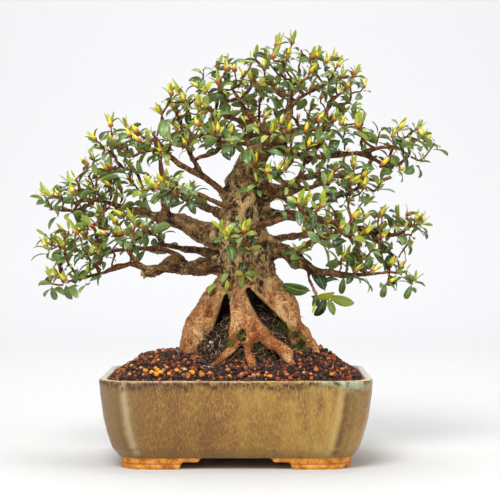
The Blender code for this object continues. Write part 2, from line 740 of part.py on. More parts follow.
def make_foliage(name, centre, reach, clearances):
    """One mass of leaves as a plain closed solid, cut clear of wood and of its neighbours."""
    centre = Vector(centre) * MM + Vector((0.0, 0.0, POT_HEIGHT))
    mass = blob("foliage_" + name, centre, Vector(reach) * MM, 2, 0.004, 0.03, PARTS)
    cut_clear(mass, clearances)
    return finish(mass, "leaf")


def make_anchor_wire():
    """The thin tie wire that lies over the soil in front of the left root, both ends in the soil."""
    route = [(-60, -2, 6, 0), (-60, -7, 19, 0), (-58, -18, 24, 0), (-54, -32, 16.5, 0), (-46, -44, 12.5, 0),
             (-32, -54, 11, 0), (-14, -60, 8, 0), (-5, -61, 3, 0), (-2, -61, -5, 0)]
    run = [(place, ANCHOR_WIRE_RADIUS) for place, _ in smooth_run(above_rim(route), 0.005)]
    return finish(tube("anchor_wire", run, 1, PARTS), "wire")


def main():
    clear_scene()
    make_pot()
    for side, x in hole_places().items():
        make_screen(side, x)
        make_clip(side, x)
    trunk = make_trunk()
    bark = clearances_of(trunk, BARK_GAP)
    wood = [bark[0]]
    for name, runs in LIMBS.items():
        limb = make_limb(name, runs, wood)
        wood.append(inflated(limb, GAP))
    wire = make_anchor_wire()
    wire_clearance = inflated(wire, GAP)
    ball = make_root_ball([*bark, wire_clearance])
    make_soil([inflated(ball, GAP), *bark, wire_clearance])
    clear_of = list(wood)
    for name, (centre, reach) in FOLIAGE.items():
        mass = make_foliage(name, centre, reach, clear_of)
        clear_of.extend(clearances_of(mass, GAP))


main()
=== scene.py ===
"""Looks of an azalea bonsai in a glazed rectangular pot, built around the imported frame."""

from __future__ import annotations

import logging
import math
from dataclasses import dataclass, field
from enum import Enum

import bmesh
import bpy
import numpy as np
from bpy.types import Material, Node, NodeSocket, NodeTree, Object
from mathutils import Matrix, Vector, noise
from mathutils.bvhtree import BVHTree
from mathutils.kdtree import KDTree
from numpy import ndarray as Array
from numpy.random import Generator


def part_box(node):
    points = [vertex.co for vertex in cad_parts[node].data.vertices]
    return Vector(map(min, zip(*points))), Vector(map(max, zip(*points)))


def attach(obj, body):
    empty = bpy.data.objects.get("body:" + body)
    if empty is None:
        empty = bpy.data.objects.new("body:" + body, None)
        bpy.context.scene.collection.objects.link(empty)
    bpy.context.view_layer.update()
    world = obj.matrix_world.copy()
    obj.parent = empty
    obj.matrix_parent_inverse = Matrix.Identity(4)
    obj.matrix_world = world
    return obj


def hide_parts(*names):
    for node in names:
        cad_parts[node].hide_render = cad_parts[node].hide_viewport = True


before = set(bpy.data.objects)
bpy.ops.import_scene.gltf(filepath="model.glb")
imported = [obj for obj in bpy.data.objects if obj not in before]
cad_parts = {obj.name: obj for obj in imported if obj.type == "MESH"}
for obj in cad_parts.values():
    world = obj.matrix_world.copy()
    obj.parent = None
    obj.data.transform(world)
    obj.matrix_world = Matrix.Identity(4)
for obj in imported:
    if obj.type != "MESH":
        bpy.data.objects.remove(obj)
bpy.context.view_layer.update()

BODY = "root"
GOLDEN_ANGLE = math.radians(137.5)
LOG = logging.getLogger("azalea_bonsai")


# ---------------------------------------------------------------- small helpers


def srgb(red: int, green: int, blue: int) -> tuple[float, float, float, float]:
    """Turn a colour given as 0 to 255 display values into linear values.

    Args:
        red: Display red.
        green: Display green.
        blue: Display blue.

    Returns:
        The linear colour with an alpha of 1.
    """
    linear = []
    for value in (red, green, blue):
        share = value / 255
        linear.append(share / 12.92 if share <= 0.04045 else ((share + 0.055) / 1.055) ** 2.4)
    return (linear[0], linear[1], linear[2], 1.0)


def unit(vectors: Array) -> Array:
    """Scale vectors to length 1.

    Args:
        vectors: One vector, or one a row.

    Returns:
        The same directions at length 1.
    """
    lengths = np.linalg.norm(vectors, axis=-1, keepdims=True)
    return vectors / np.maximum(lengths, 1e-12)


def node_arrays(name: str) -> tuple[Array, Array]:
    """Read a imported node's mesh.

    Args:
        name: The node's name.

    Returns:
        Its vertices and its triangles.
    """
    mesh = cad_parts[name].data
    mesh.calc_loop_triangles()
    points = np.empty(len(mesh.vertices) * 3)
    mesh.vertices.foreach_get("co", points)
    triangles = np.empty(len(mesh.loop_triangles) * 3, dtype=np.int32)
    mesh.loop_triangles.foreach_get("vertices", triangles)
    matrix = np.array(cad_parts[name].matrix_world)
    points = points.reshape(-1, 3) @ matrix[:3, :3].T + matrix[:3, 3]
    return points, triangles.reshape(-1, 3)


def nodes_named(start: str) -> list[str]:
    """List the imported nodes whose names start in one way, in alphabetical order."""
    return sorted(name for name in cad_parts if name.startswith(start))


def smooth_noise(points: Array, scale: tuple[float, float, float], seed: float) -> Array:
    """Sample smooth noise at points.

    Args:
        points: One point a row, in metres.
        scale: Waves per metre along each axis.
        seed: A shift that gives another pattern.

    Returns:
        One value between about -1 and 1 for each point.
    """
    placed = points * np.array(scale) + seed
    return np.array([noise.noise(Vector(point)) for point in placed])


def mesh_object(name: str, points: Array, faces: list | Array) -> Object:
    """Make a mesh object from arrays and add it to the scene.

    Args:
        name: The object's name.
        points: Its vertices, one a row.
        faces: Its faces, as rows of vertex numbers.

    Returns:
        The new object.
    """
    mesh = bpy.data.meshes.new(name)
    mesh.from_pydata(np.asarray(points).tolist(), [], [list(map(int, face)) for face in faces])
    mesh.update()
    item = bpy.data.objects.new(name, mesh)
    bpy.context.scene.collection.objects.link(item)
    return item


def paint(item: Object, name: str, values: Array) -> None:
    """Store one number for each vertex, for the shader to read.

    Args:
        item: The mesh object.
        name: The attribute's name.
        values: One number a vertex.
    """
    layer = item.data.attributes.new(name, "FLOAT", "POINT")
    layer.data.foreach_set("value", np.asarray(values, dtype=np.float32))


def dress(item: Object, finish: Material, slot: str, *nodes: str) -> Object:
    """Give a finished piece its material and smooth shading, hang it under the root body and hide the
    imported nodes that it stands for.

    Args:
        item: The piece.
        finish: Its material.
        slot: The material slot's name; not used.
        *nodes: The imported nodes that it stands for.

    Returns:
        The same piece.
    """
    item.data.materials.clear()
    item.data.materials.append(finish)
    item.data.shade_smooth()
    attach(item, BODY)
    if nodes:
        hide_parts(*nodes)
    LOG.info("%s: %d faces", item.name, len(item.data.polygons))
    return item


def voxel_skin(name: str, item: Object, voxel: float, rounds: int) -> Object:
    """Wrap an object in one even skin.

    Args:
        name: The new object's name.
        item: The object to wrap, which is removed.
        voxel: The size of the skin's faces.
        rounds: How many times the skin is smoothed.

    Returns:
        The skin as a plain mesh object.
    """
    wrap = item.modifiers.new("wrap", "REMESH")
    wrap.mode = "VOXEL"
    wrap.voxel_size = voxel
    soften = item.modifiers.new("soften", "SMOOTH")
    soften.factor = 0.5
    soften.iterations = rounds
    bpy.context.view_layer.update()
    graph = bpy.context.evaluated_depsgraph_get()
    mesh = bpy.data.meshes.new_from_object(item.evaluated_get(graph))
    bpy.data.objects.remove(item, do_unlink=True)
    skin = bpy.data.objects.new(name, mesh)
    skin.name = name
    bpy.context.scene.collection.objects.link(skin)
    return skin


def node_skin(name: str, node: str, voxel: float, rounds: int) -> Object:
    """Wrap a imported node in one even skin.

    Args:
        name: The skin's name.
        node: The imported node.
        voxel: The size of the skin's faces.
        rounds: How many times the skin is smoothed.

    Returns:
        The skin as a plain mesh object.
    """
    return voxel_skin(name, mesh_object(name + "_shape", *node_arrays(node)), voxel, rounds)


def mesh_arrays(item: Object) -> tuple[Array, Array]:
    """Read a mesh object's vertices and normals.

    Args:
        item: The mesh object.

    Returns:
        Its vertices and their normals, one a row.
    """
    count = len(item.data.vertices)
    points = np.empty(count * 3)
    item.data.vertices.foreach_get("co", points)
    normals = np.empty(count * 3)
    item.data.vertices.foreach_get("normal", normals)
    return points.reshape(-1, 3), normals.reshape(-1, 3)


def move_vertices(item: Object, points: Array) -> None:
    """Write new vertex places into a mesh object."""
    item.data.vertices.foreach_set("co", points.ravel())
    item.data.update()


@dataclass(frozen=True)
class Neighbours:
    """Which vertices of a mesh are joined by an edge."""

    first: Array
    second: Array
    times: Array

    @classmethod
    def of(cls, item: Object) -> Neighbours:
        """Read a mesh object's edges.

        Args:
            item: The mesh object.

        Returns:
            Its neighbours.
        """
        edges = np.empty(len(item.data.edges) * 2, dtype=np.int32)
        item.data.edges.foreach_get("vertices", edges)
        times = np.maximum(np.bincount(edges, minlength=len(item.data.vertices)), 1)
        return cls(edges[0::2], edges[1::2], times)

    def mean(self, values: Array) -> Array:
        """Average a number over each vertex's neighbours.

        Args:
            values: One number a vertex.

        Returns:
            One mean a vertex.
        """
        count = len(values)
        total = np.bincount(self.first, values[self.second], count)
        return (total + np.bincount(self.second, values[self.first], count)) / self.times


def creases(item: Object, rounds: int) -> Array:
    """Measure how hollow the surface is at each vertex, with ridges below 0.

    Args:
        item: The mesh object.
        rounds: How many times the result is spread to the neighbours.

    Returns:
        One value a vertex, in which nine in ten lie between -1 and 1.
    """
    points, normals = mesh_arrays(item)
    edges = Neighbours.of(item)
    middle = np.stack([edges.mean(points[:, axis]) for axis in range(3)], axis=1)
    bend = ((middle - points) * normals).sum(axis=1)
    for _ in range(rounds):
        bend = 0.35 * bend + 0.65 * edges.mean(bend)
    return np.clip(bend / max(float(np.percentile(np.abs(bend), 90)), 1e-9), -1.5, 1.5)


def spread_out(points: Array, spacing: float) -> list[int]:
    """Keep the points, in order, that lie further than a spacing from those kept before.

    Args:
        points: The points, one a row.
        spacing: The least distance between two of them.

    Returns:
        The numbers of the kept points.
    """
    kept: list[int] = []
    cells: dict[tuple[int, int, int], list[int]] = {}
    for index, (i, j, k) in enumerate(np.floor(points / spacing).astype(int).tolist()):
        near = [other for x in (i - 1, i, i + 1) for y in (j - 1, j, j + 1) for z in (k - 1, k, k + 1)
                for other in cells.get((x, y, z), ())]
        if all(np.linalg.norm(points[index] - points[other]) > spacing for other in near):
            kept.append(index)
            cells.setdefault((i, j, k), []).append(index)
    return kept


def node_tree(node: str, places: Array | None = None) -> BVHTree:
    """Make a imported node's surface ready for finding points on it.

    Args:
        node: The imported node.
        places: Other places for its vertices.

    Returns:
        The tree of its triangles.
    """
    points, triangles = node_arrays(node)
    return BVHTree.FromPolygons((points if places is None else places).tolist(), triangles.tolist())


def frame_of(forward: Array, upward: Array) -> Array:
    """Build axes whose X runs forward and whose Z is as close to upward as it can be.

    Args:
        forward: The X axis.
        upward: A direction that Z leans to.

    Returns:
        A matrix whose rows are the three axes.
    """
    x_axis = unit(forward)
    y_axis = np.cross(upward, x_axis)
    if np.linalg.norm(y_axis) < 1e-6:
        y_axis = np.cross(np.array([1.0, 0.3, 0.2]), x_axis)
    y_axis = unit(y_axis)
    return np.array([x_axis, y_axis, np.cross(x_axis, y_axis)])


@dataclass
class Batch:
    """Many small shapes that are gathered into one mesh."""

    points: list[Array] = field(default_factory=list)
    faces: list[Array] = field(default_factory=list)
    values: dict[str, list[Array]] = field(default_factory=dict)
    count: int = 0

    def add(self, points: Array, faces: Array, **values: Array | float) -> None:
        """Add one shape.

        Args:
            points: Its vertices.
            faces: Its faces, as rows of its own vertex numbers.
            **values: Numbers for the shader, one for all or one a vertex.
        """
        self.points.append(points)
        self.faces.append(faces + self.count)
        for name, value in values.items():
            self.values.setdefault(name, []).append(np.broadcast_to(value, (len(points),)))
        self.count += len(points)

    def build(self, name: str) -> Object:
        """Make the one mesh object.

        Args:
            name: The object's name.

        Returns:
            The object, with the shader's numbers on its vertices.
        """
        faces = [row for block in self.faces for row in block.tolist()]
        item = mesh_object(name, np.concatenate(self.points), faces)
        for key, blocks in self.values.items():
            paint(item, key, np.concatenate(blocks))
        return item


def ring_faces(rings: int, sides: int) -> Array:
    """Join rings of vertices, with one more vertex before the first ring and after the last.

    Args:
        rings: How many rings there are.
        sides: How many vertices each ring has.

    Returns:
        The faces, of four corners each, where the two end vertices come last.
    """
    faces = []
    for low in range(0, (rings - 1) * sides, sides):
        high = low + sides
        for corner in range(sides):
            after = (corner + 1) % sides
            faces.append((low + corner, low + after, high + after, high + corner))
    first, last, top = rings * sides, rings * sides + 1, (rings - 1) * sides
    for corner in range(0, sides, 2):
        after, beyond = (corner + 1) % sides, (corner + 2) % sides
        faces.append((first, beyond, after, corner))
        faces.append((last, top + corner, top + after, top + beyond))
    return np.array(faces)


def tube_shape(path: Array, radii: Array, sides: int) -> tuple[Array, Array]:
    """Make a closed tube along a path.

    Args:
        path: The centre line, one point a row.
        radii: The radius at each point.
        sides: How many sides the tube has.

    Returns:
        Its vertices and its faces, of four corners each.
    """
    along = unit(np.gradient(path, axis=0))
    side = np.cross(along[0], np.array([0.31, 0.17, 0.93]))
    turns = np.arange(sides) * (2 * math.pi / sides)
    rings = []
    for place, direction, radius in zip(path, along, radii):
        side = unit(side - direction * np.dot(side, direction))
        other = np.cross(direction, side)
        rings.append(place + radius * (np.outer(np.cos(turns), side) + np.outer(np.sin(turns), other)))
    start = path[0] - along[0] * radii[0] * 0.6
    end = path[-1] + along[-1] * radii[-1] * 0.8
    return np.concatenate(rings + [start[None], end[None]]), ring_faces(len(path), sides)


def curve_between(start: Array, leave: Array, end: Array, arrive: Array,
                  count: int) -> Array:
    """Sample a smooth curve from one place to another.

    Args:
        start: Where it starts.
        leave: The direction and strength with which it leaves.
        end: Where it ends.
        arrive: The direction and strength with which it arrives.
        count: How many points to give.

    Returns:
        The points, one a row.
    """
    t = np.linspace(0, 1, count)[:, None]
    near = start + leave / 3
    far = end - arrive / 3
    return (1 - t) ** 3 * start + 3 * (1 - t) ** 2 * t * near + 3 * (1 - t) * t ** 2 * far + t ** 3 * end


# ---------------------------------------------------------------- shader building


class Graph:
    """A node tree that is written as short calls."""

    def __init__(self, tree: NodeTree) -> None:
        """Wrap a tree."""
        self.tree = tree

    def add(self, kind: str, **settings: object) -> Node:
        """Add a node and set its properties.

        Args:
            kind: The node's type.
            **settings: Its properties.

        Returns:
            The node.
        """
        node = self.tree.nodes.new(kind)
        for key, value in settings.items():
            setattr(node, key, value)
        return node

    def feed(self, node: Node, **inputs: object) -> Node:
        """Set or link a node's inputs.

        Args:
            node: The node.
            **inputs: A value or an output for each input, which is named with underscores for spaces or by
                its number after the letter i.

        Returns:
            The same node.
        """
        for key, value in inputs.items():
            numbered = key[0] == "i" and key[1:].isdigit()
            socket = node.inputs[int(key[1:]) if numbered else key.replace("_", " ")]
            if isinstance(value, NodeSocket):
                self.tree.links.new(value, socket)
            else:
                socket.default_value = value
        return node

    def math(self, operation: str, first: object, second: object = 0.0, clamp: bool = False) -> NodeSocket:
        """Work out two numbers."""
        node = self.add("ShaderNodeMath", operation=operation, use_clamp=clamp)
        return self.feed(node, i0=first, i1=second).outputs[0]

    def times(self, first: object, second: object, clamp: bool = False) -> NodeSocket:
        """Multiply two numbers."""
        return self.math("MULTIPLY", first, second, clamp)

    def plus(self, first: object, second: object, clamp: bool = False) -> NodeSocket:
        """Add two numbers."""
        return self.math("ADD", first, second, clamp)

    def minus(self, first: object, second: object) -> NodeSocket:
        """Take the second number from the first."""
        return self.math("SUBTRACT", first, second)

    def ramp(self, value: object, low: float, high: float, start: float = 0.0,
             end: float = 1.0) -> NodeSocket:
        """Map a range onto another with soft ends."""
        node = self.add("ShaderNodeMapRange", interpolation_type="SMOOTHSTEP")
        return self.feed(node, Value=value, From_Min=low, From_Max=high, To_Min=start, To_Max=end).outputs[0]

    def fade(self, value: object, low: float, high: float) -> NodeSocket:
        """Go softly from 1 down to 0 over a range."""
        return self.ramp(value, low, high, 1.0, 0.0)

    def blend(self, share: object, first: object, second: object) -> NodeSocket:
        """Mix two colours."""
        node = self.add("ShaderNodeMix", data_type="RGBA")
        return self.feed(node, i0=share, i6=first, i7=second).outputs[2]

    def layer(self, under: object, over: object, mask: NodeSocket,
              share: float = 1.0) -> NodeSocket:
        """Lay a colour over another where a mask lets it show."""
        return self.blend(mask if share == 1.0 else self.times(mask, share), under, over)

    def place(self, scale: tuple[float, float, float] = (1.0, 1.0, 1.0)) -> NodeSocket:
        """Give the place in metres, stretched by a scale."""
        place = self.add("ShaderNodeTexCoord").outputs["Object"]
        return self.feed(self.add("ShaderNodeMapping"), Vector=place, Scale=scale).outputs[0]

    def axes(self, vector: NodeSocket) -> list[NodeSocket]:
        """Split a vector into its X, Y and Z."""
        return list(self.feed(self.add("ShaderNodeSeparateXYZ"), Vector=vector).outputs)

    def noise(self, vector: object, scale: object, detail: float = 3.0,
              roughness: float = 0.55) -> NodeSocket:
        """Give the value of a noise pattern."""
        node = self.add("ShaderNodeTexNoise")
        return self.feed(node, Vector=vector, Scale=scale, Detail=detail, Roughness=roughness).outputs[0]

    def spots(self, vector: object, scale: float, low: float, high: float,
              detail: float = 3.0) -> NodeSocket:
        """Give soft spots where a noise pattern rises over a range."""
        return self.ramp(self.noise(vector, scale, detail), low, high)

    def attribute(self, name: str) -> NodeSocket:
        """Give a number that was painted on the vertices."""
        return self.add("ShaderNodeAttribute", attribute_name=name).outputs["Fac"]


class Socket(Enum):
    """The kinds of sockets that the groups use."""

    NUMBER = "NodeSocketFloat"
    COLOUR = "NodeSocketColor"
    VECTOR = "NodeSocketVector"


def new_group(name: str, inputs: dict[str, tuple[Socket, object]],
              outputs: dict[str, Socket]) -> tuple[Graph, dict[str, NodeSocket], Node]:
    """Start a shader node group.

    Args:
        name: The group's name.
        inputs: The kind and first value of each input.
        outputs: The kind of each output.

    Returns:
        The graph, what each input gives, and the group's output node.
    """
    tree = bpy.data.node_groups.new(name, "ShaderNodeTree")
    for key, (kind, value) in inputs.items():
        socket = tree.interface.new_socket(name=key, in_out="INPUT", socket_type=kind.value)
        socket.default_value = value
    for key, kind in outputs.items():
        tree.interface.new_socket(name=key, in_out="OUTPUT", socket_type=kind.value)
    graph = Graph(tree)
    given = graph.add("NodeGroupInput").outputs
    return graph, {key: given[key] for key in inputs}, graph.add("NodeGroupOutput")


@dataclass
class Effects:
    """The shader effects that several finishes share, each built once."""

    mottle: NodeTree
    relief: NodeTree

    @classmethod
    def make(cls) -> Effects:
        """Build the groups."""
        return cls(cls.make_mottle(), cls.make_relief())

    @staticmethod
    def make_mottle() -> NodeTree:
        """Build colour that drifts between three tones in patches and in fine specks.

        Returns:
            The group.
        """
        graph, given, result = new_group(
            "mottle",
            {"Place": (Socket.VECTOR, (0, 0, 0)), "Patch Scale": (Socket.NUMBER, 60.0),
             "Speck Scale": (Socket.NUMBER, 600.0), "Dark": (Socket.COLOUR, (0, 0, 0, 1)),
             "Middle": (Socket.COLOUR, (0.5, 0.5, 0.5, 1)), "Light": (Socket.COLOUR, (1, 1, 1, 1)),
             "Specks": (Socket.NUMBER, 0.5)},
            {"Colour": Socket.COLOUR, "Mask": Socket.NUMBER})
        patches = graph.noise(given["Place"], given["Patch Scale"], 4.0, 0.5)
        specks = graph.noise(given["Place"], given["Speck Scale"], 2.0, 0.5)
        mixed = graph.plus(patches, graph.times(graph.minus(specks, 0.5), given["Specks"]))
        colour = graph.blend(graph.ramp(mixed, 0.3, 0.52), given["Dark"], given["Middle"])
        colour = graph.blend(graph.ramp(mixed, 0.5, 0.72), colour, given["Light"])
        graph.feed(result, Colour=colour, Mask=mixed)
        return graph.tree

    @staticmethod
    def make_relief() -> NodeTree:
        """Build cracked, flaking height, with a mask that is 1 in the cracks.

        Returns:
            The group.
        """
        graph, given, result = new_group(
            "cracked_relief",
            {"Place": (Socket.VECTOR, (0, 0, 0)), "Plate Scale": (Socket.NUMBER, 160.0),
             "Grain Scale": (Socket.NUMBER, 900.0)},
            {"Height": Socket.NUMBER, "Cracks": Socket.NUMBER})
        warp = graph.add("ShaderNodeTexNoise")
        graph.feed(warp, Vector=given["Place"], Scale=given["Plate Scale"], Detail=3.0)
        shift = graph.add("ShaderNodeVectorMath", operation="MULTIPLY_ADD")
        graph.feed(shift, i0=warp.outputs["Color"], i1=(0.006, 0.006, 0.006), i2=given["Place"])
        plates = graph.add("ShaderNodeTexVoronoi", feature="DISTANCE_TO_EDGE")
        graph.feed(plates, Vector=shift.outputs[0], Scale=given["Plate Scale"])
        cracks = graph.fade(plates.outputs["Distance"], 0.0, 0.16)
        grain = graph.noise(given["Place"], given["Grain Scale"], 3.0, 0.5)
        graph.feed(result, Height=graph.minus(graph.times(grain, 0.6), cracks), Cracks=cracks)
        return graph.tree

    def mottled(self, graph: Graph, place: NodeSocket, scales: tuple[float, float], tones: tuple,
                specks: float = 1.0) -> Node:
        """Mottle three tones.

        Args:
            graph: The material's graph.
            place: Where the pattern is read.
            scales: Patches and specks per metre.
            tones: The dark, the middle and the light colour.
            specks: How strongly the specks show.

        Returns:
            The placed group.
        """
        node = graph.add("ShaderNodeGroup", node_tree=self.mottle)
        return graph.feed(node, Place=place, Patch_Scale=scales[0], Speck_Scale=scales[1], Dark=tones[0],
                          Middle=tones[1], Light=tones[2], Specks=specks)


def new_material(name: str) -> tuple[Material, Graph, Node]:
    """Start a material.

    Args:
        name: The material's name.

    Returns:
        The material, its graph and its Principled shader.
    """
    made = bpy.data.materials.new(name)
    made.use_nodes = True
    return made, Graph(made.node_tree), made.node_tree.nodes["Principled BSDF"]


def bump(graph: Graph, shader: Node, height: NodeSocket, distance: float,
         strength: float = 1.0) -> None:
    """Add fine height to a shader, in which 1 stands for a distance in metres."""
    node = graph.feed(graph.add("ShaderNodeBump"), Strength=strength, Distance=distance, Height=height)
    graph.feed(shader, Normal=node.outputs[0])


@dataclass(frozen=True)
class GlazeFinish:
    """Brown-gold ash glaze with fine upright streaks, grey inside, on orange clay, with painted highlights
    and painted shade at the corner folds.
    """

    effects: Effects
    rim_height: float
    foot_height: float
    foot_groove: float
    dark: tuple = srgb(90, 54, 20)
    middle: tuple = srgb(140, 98, 40)
    light: tuple = srgb(190, 152, 68)
    bright: tuple = srgb(204, 172, 84)
    olive: tuple = srgb(138, 124, 44)
    dull: tuple = srgb(126, 100, 56)
    pool: tuple = srgb(112, 84, 30)
    # Painted light at the corner folds: a painted dark reflection in the right fold, a painted pale highlight
    # in the left fold, a painted highlight just inside the right fold and painted shade just outside each
    # fold.
    dark_fold_reflection: tuple = srgb(84, 56, 28)
    pale_fold_highlight: tuple = srgb(206, 190, 148)
    inner_shoulder_highlight: tuple = srgb(208, 186, 120)
    outer_shoulder_shade: tuple = srgb(100, 74, 36)
    under_rim: tuple = srgb(62, 38, 22)
    rim: tuple = srgb(214, 184, 134)
    pale: tuple = srgb(176, 192, 152)
    inside: tuple = (srgb(150, 140, 126), srgb(196, 190, 178), srgb(226, 222, 212))
    clay: tuple = (srgb(150, 80, 26), srgb(216, 140, 44), srgb(236, 170, 84))
    coat: float = 0.2
    coat_roughness: float = 0.08
    specular: float = 0.4

    def wall(self, graph: Graph, streaks: NodeSocket, streak_place: NodeSocket) -> object:
        """Colour the outside wall, from its streaks to the painted highlights and painted shade at the folds
        beside the corners.

        Args:
            graph: The material's graph.
            streaks: The streaks' colour.
            streak_place: The place, stretched upright.

        Returns:
            The colour.
        """
        place = graph.place()
        across, _, level = graph.axes(place)
        body = graph.blend(0.45, streaks, self.middle)
        drift = graph.plus(graph.noise(graph.place((1.0, 1.0, 0.45)), 26.0, 5.0), graph.times(across, 0.7))
        body = graph.layer(body, self.dark, graph.fade(drift, 0.34, 0.52), 0.4)
        body = graph.layer(body, self.light, graph.ramp(drift, 0.52, 0.72), 0.45)
        bright = graph.times(graph.ramp(across, 0.035, 0.078), graph.fade(across, 0.084, 0.094))
        bright = graph.times(bright, graph.spots(streak_place, 60.0, 0.3, 0.6))
        body = graph.layer(body, self.bright, bright, 0.6)
        body = graph.layer(body, self.olive, graph.spots(place, 30.0, 0.5, 0.72), 0.35)
        body = graph.layer(body, self.dull, graph.ramp(across, -0.11, -0.07, 0.5, 0.0))
        # Painted reflection, highlight and shade at the corner folds: dark in the right fold, pale in the
        # left, a highlight inside the right fold and shade outside each fold.
        right = graph.ramp(across, -0.01, 0.01)
        uneven = graph.ramp(graph.noise(graph.place((1.0, 1.0, 0.3)), 90.0), 0.3, 0.6, 0.6, 1.0)
        fold = graph.times(graph.attribute("fold"), uneven)
        body = graph.layer(body, self.dark_fold_reflection, graph.times(fold, right), 0.75)
        body = graph.layer(body, self.pale_fold_highlight, graph.times(fold, graph.minus(1.0, right)), 0.5)
        inner_highlight = graph.times(graph.attribute("shoulder_in_highlight"), right)
        body = graph.layer(body, self.inner_shoulder_highlight, inner_highlight, 0.36)
        body = graph.layer(body, self.outer_shoulder_shade, graph.attribute("shoulder_out_shade"), 0.4)
        pool = graph.ramp(level, self.foot_height + 0.001, self.foot_height + 0.009, 0.45, 0.0)
        return graph.layer(body, self.pool, pool)

    def upper_edge(self, graph: Graph, body: NodeSocket, streak_place: NodeSocket) -> object:
        """Colour the dark band under the rim, the pale corner and the rim's edge.

        Args:
            graph: The material's graph.
            body: The wall's colour.
            streak_place: The place, stretched upright.

        Returns:
            The colour.
        """
        place = graph.place()
        across, _, level = graph.axes(place)
        fine = graph.minus(graph.noise(streak_place, 300.0, 5.0), 0.5)
        broad = graph.minus(graph.noise(graph.place((1.0, 1.0, 0.1)), 55.0, 2.0), 0.5)
        ragged = graph.plus(graph.times(fine, 0.012), graph.times(broad, 0.016))
        drop = graph.minus(self.rim_height, graph.plus(level, ragged))
        band = graph.times(graph.ramp(drop, 0.0004, 0.0022), graph.fade(drop, 0.0042, 0.0105))
        flecks = graph.spots(graph.place((1.0, 1.0, 0.5)), 520.0, 0.4, 0.58, 4.0)
        band = graph.times(band, graph.plus(graph.times(flecks, 0.65), 0.3))
        body = graph.layer(body, self.under_rim, band)
        corner = graph.times(graph.ramp(across, 0.06, 0.09), graph.fade(drop, 0.002, 0.014))
        body = graph.layer(body, self.pale, graph.times(corner, graph.spots(place, 80.0, 0.44, 0.6)), 0.7)
        edge = graph.ramp(graph.plus(level, graph.times(fine, 0.0016)), self.rim_height - 0.0008,
                          self.rim_height - 0.0002)
        worn = graph.ramp(graph.noise(place, 240.0), 0.36, 0.5, 0.25, 0.95)
        return graph.layer(body, self.rim, graph.times(edge, worn))

    def material(self) -> Material:
        """Build the material.

        Returns:
            The material.
        """
        made, graph, shader = new_material("ash_glaze")
        place = graph.place()
        level = graph.axes(place)[2]
        streak_place = graph.place((1.0, 1.0, 0.28))
        tones = (self.dark, self.middle, self.light)
        streaks = self.effects.mottled(graph, streak_place, (640.0, 1800.0), tones, 1.2)
        body = self.wall(graph, streaks.outputs["Colour"], streak_place)
        body = self.upper_edge(graph, body, streak_place)
        inner = self.effects.mottled(graph, place, (90.0, 700.0), self.inside, 0.8)
        body = graph.layer(body, inner.outputs["Colour"], graph.ramp(graph.attribute("inward"), 0.45, 0.75))
        clay = self.effects.mottled(graph, place, (120.0, 1200.0), self.clay, 0.9)
        wander = graph.times(graph.minus(graph.noise(place, 90.0, 2.0), 0.5), 0.0016)
        bare = graph.fade(graph.plus(level, wander), self.foot_height - 0.0004, self.foot_height + 0.0006)
        colour = graph.layer(body, clay.outputs["Colour"], bare)
        # A darker line painted along the foot's groove: painted shade in the groove.
        groove = graph.math("ABSOLUTE", graph.minus(level, self.foot_groove))
        groove = graph.times(graph.ramp(groove, 0.0003, 0.0009, 0.7, 0.0), bare)
        colour = graph.layer(colour, self.clay[0], groove)
        roughness = graph.plus(graph.times(streaks.outputs["Mask"], 0.16), 0.08)
        roughness = graph.math("MAXIMUM", roughness, graph.times(bare, 0.85))
        graph.feed(shader, Base_Color=colour, Roughness=roughness, Specular_IOR_Level=self.specular,
                   Coat_Weight=graph.times(graph.minus(1.0, bare), self.coat),
                   Coat_Roughness=self.coat_roughness)
        bump(graph, shader, graph.plus(streaks.outputs["Mask"], graph.noise(place, 1400.0, 2.0)), 0.0002)
        return made


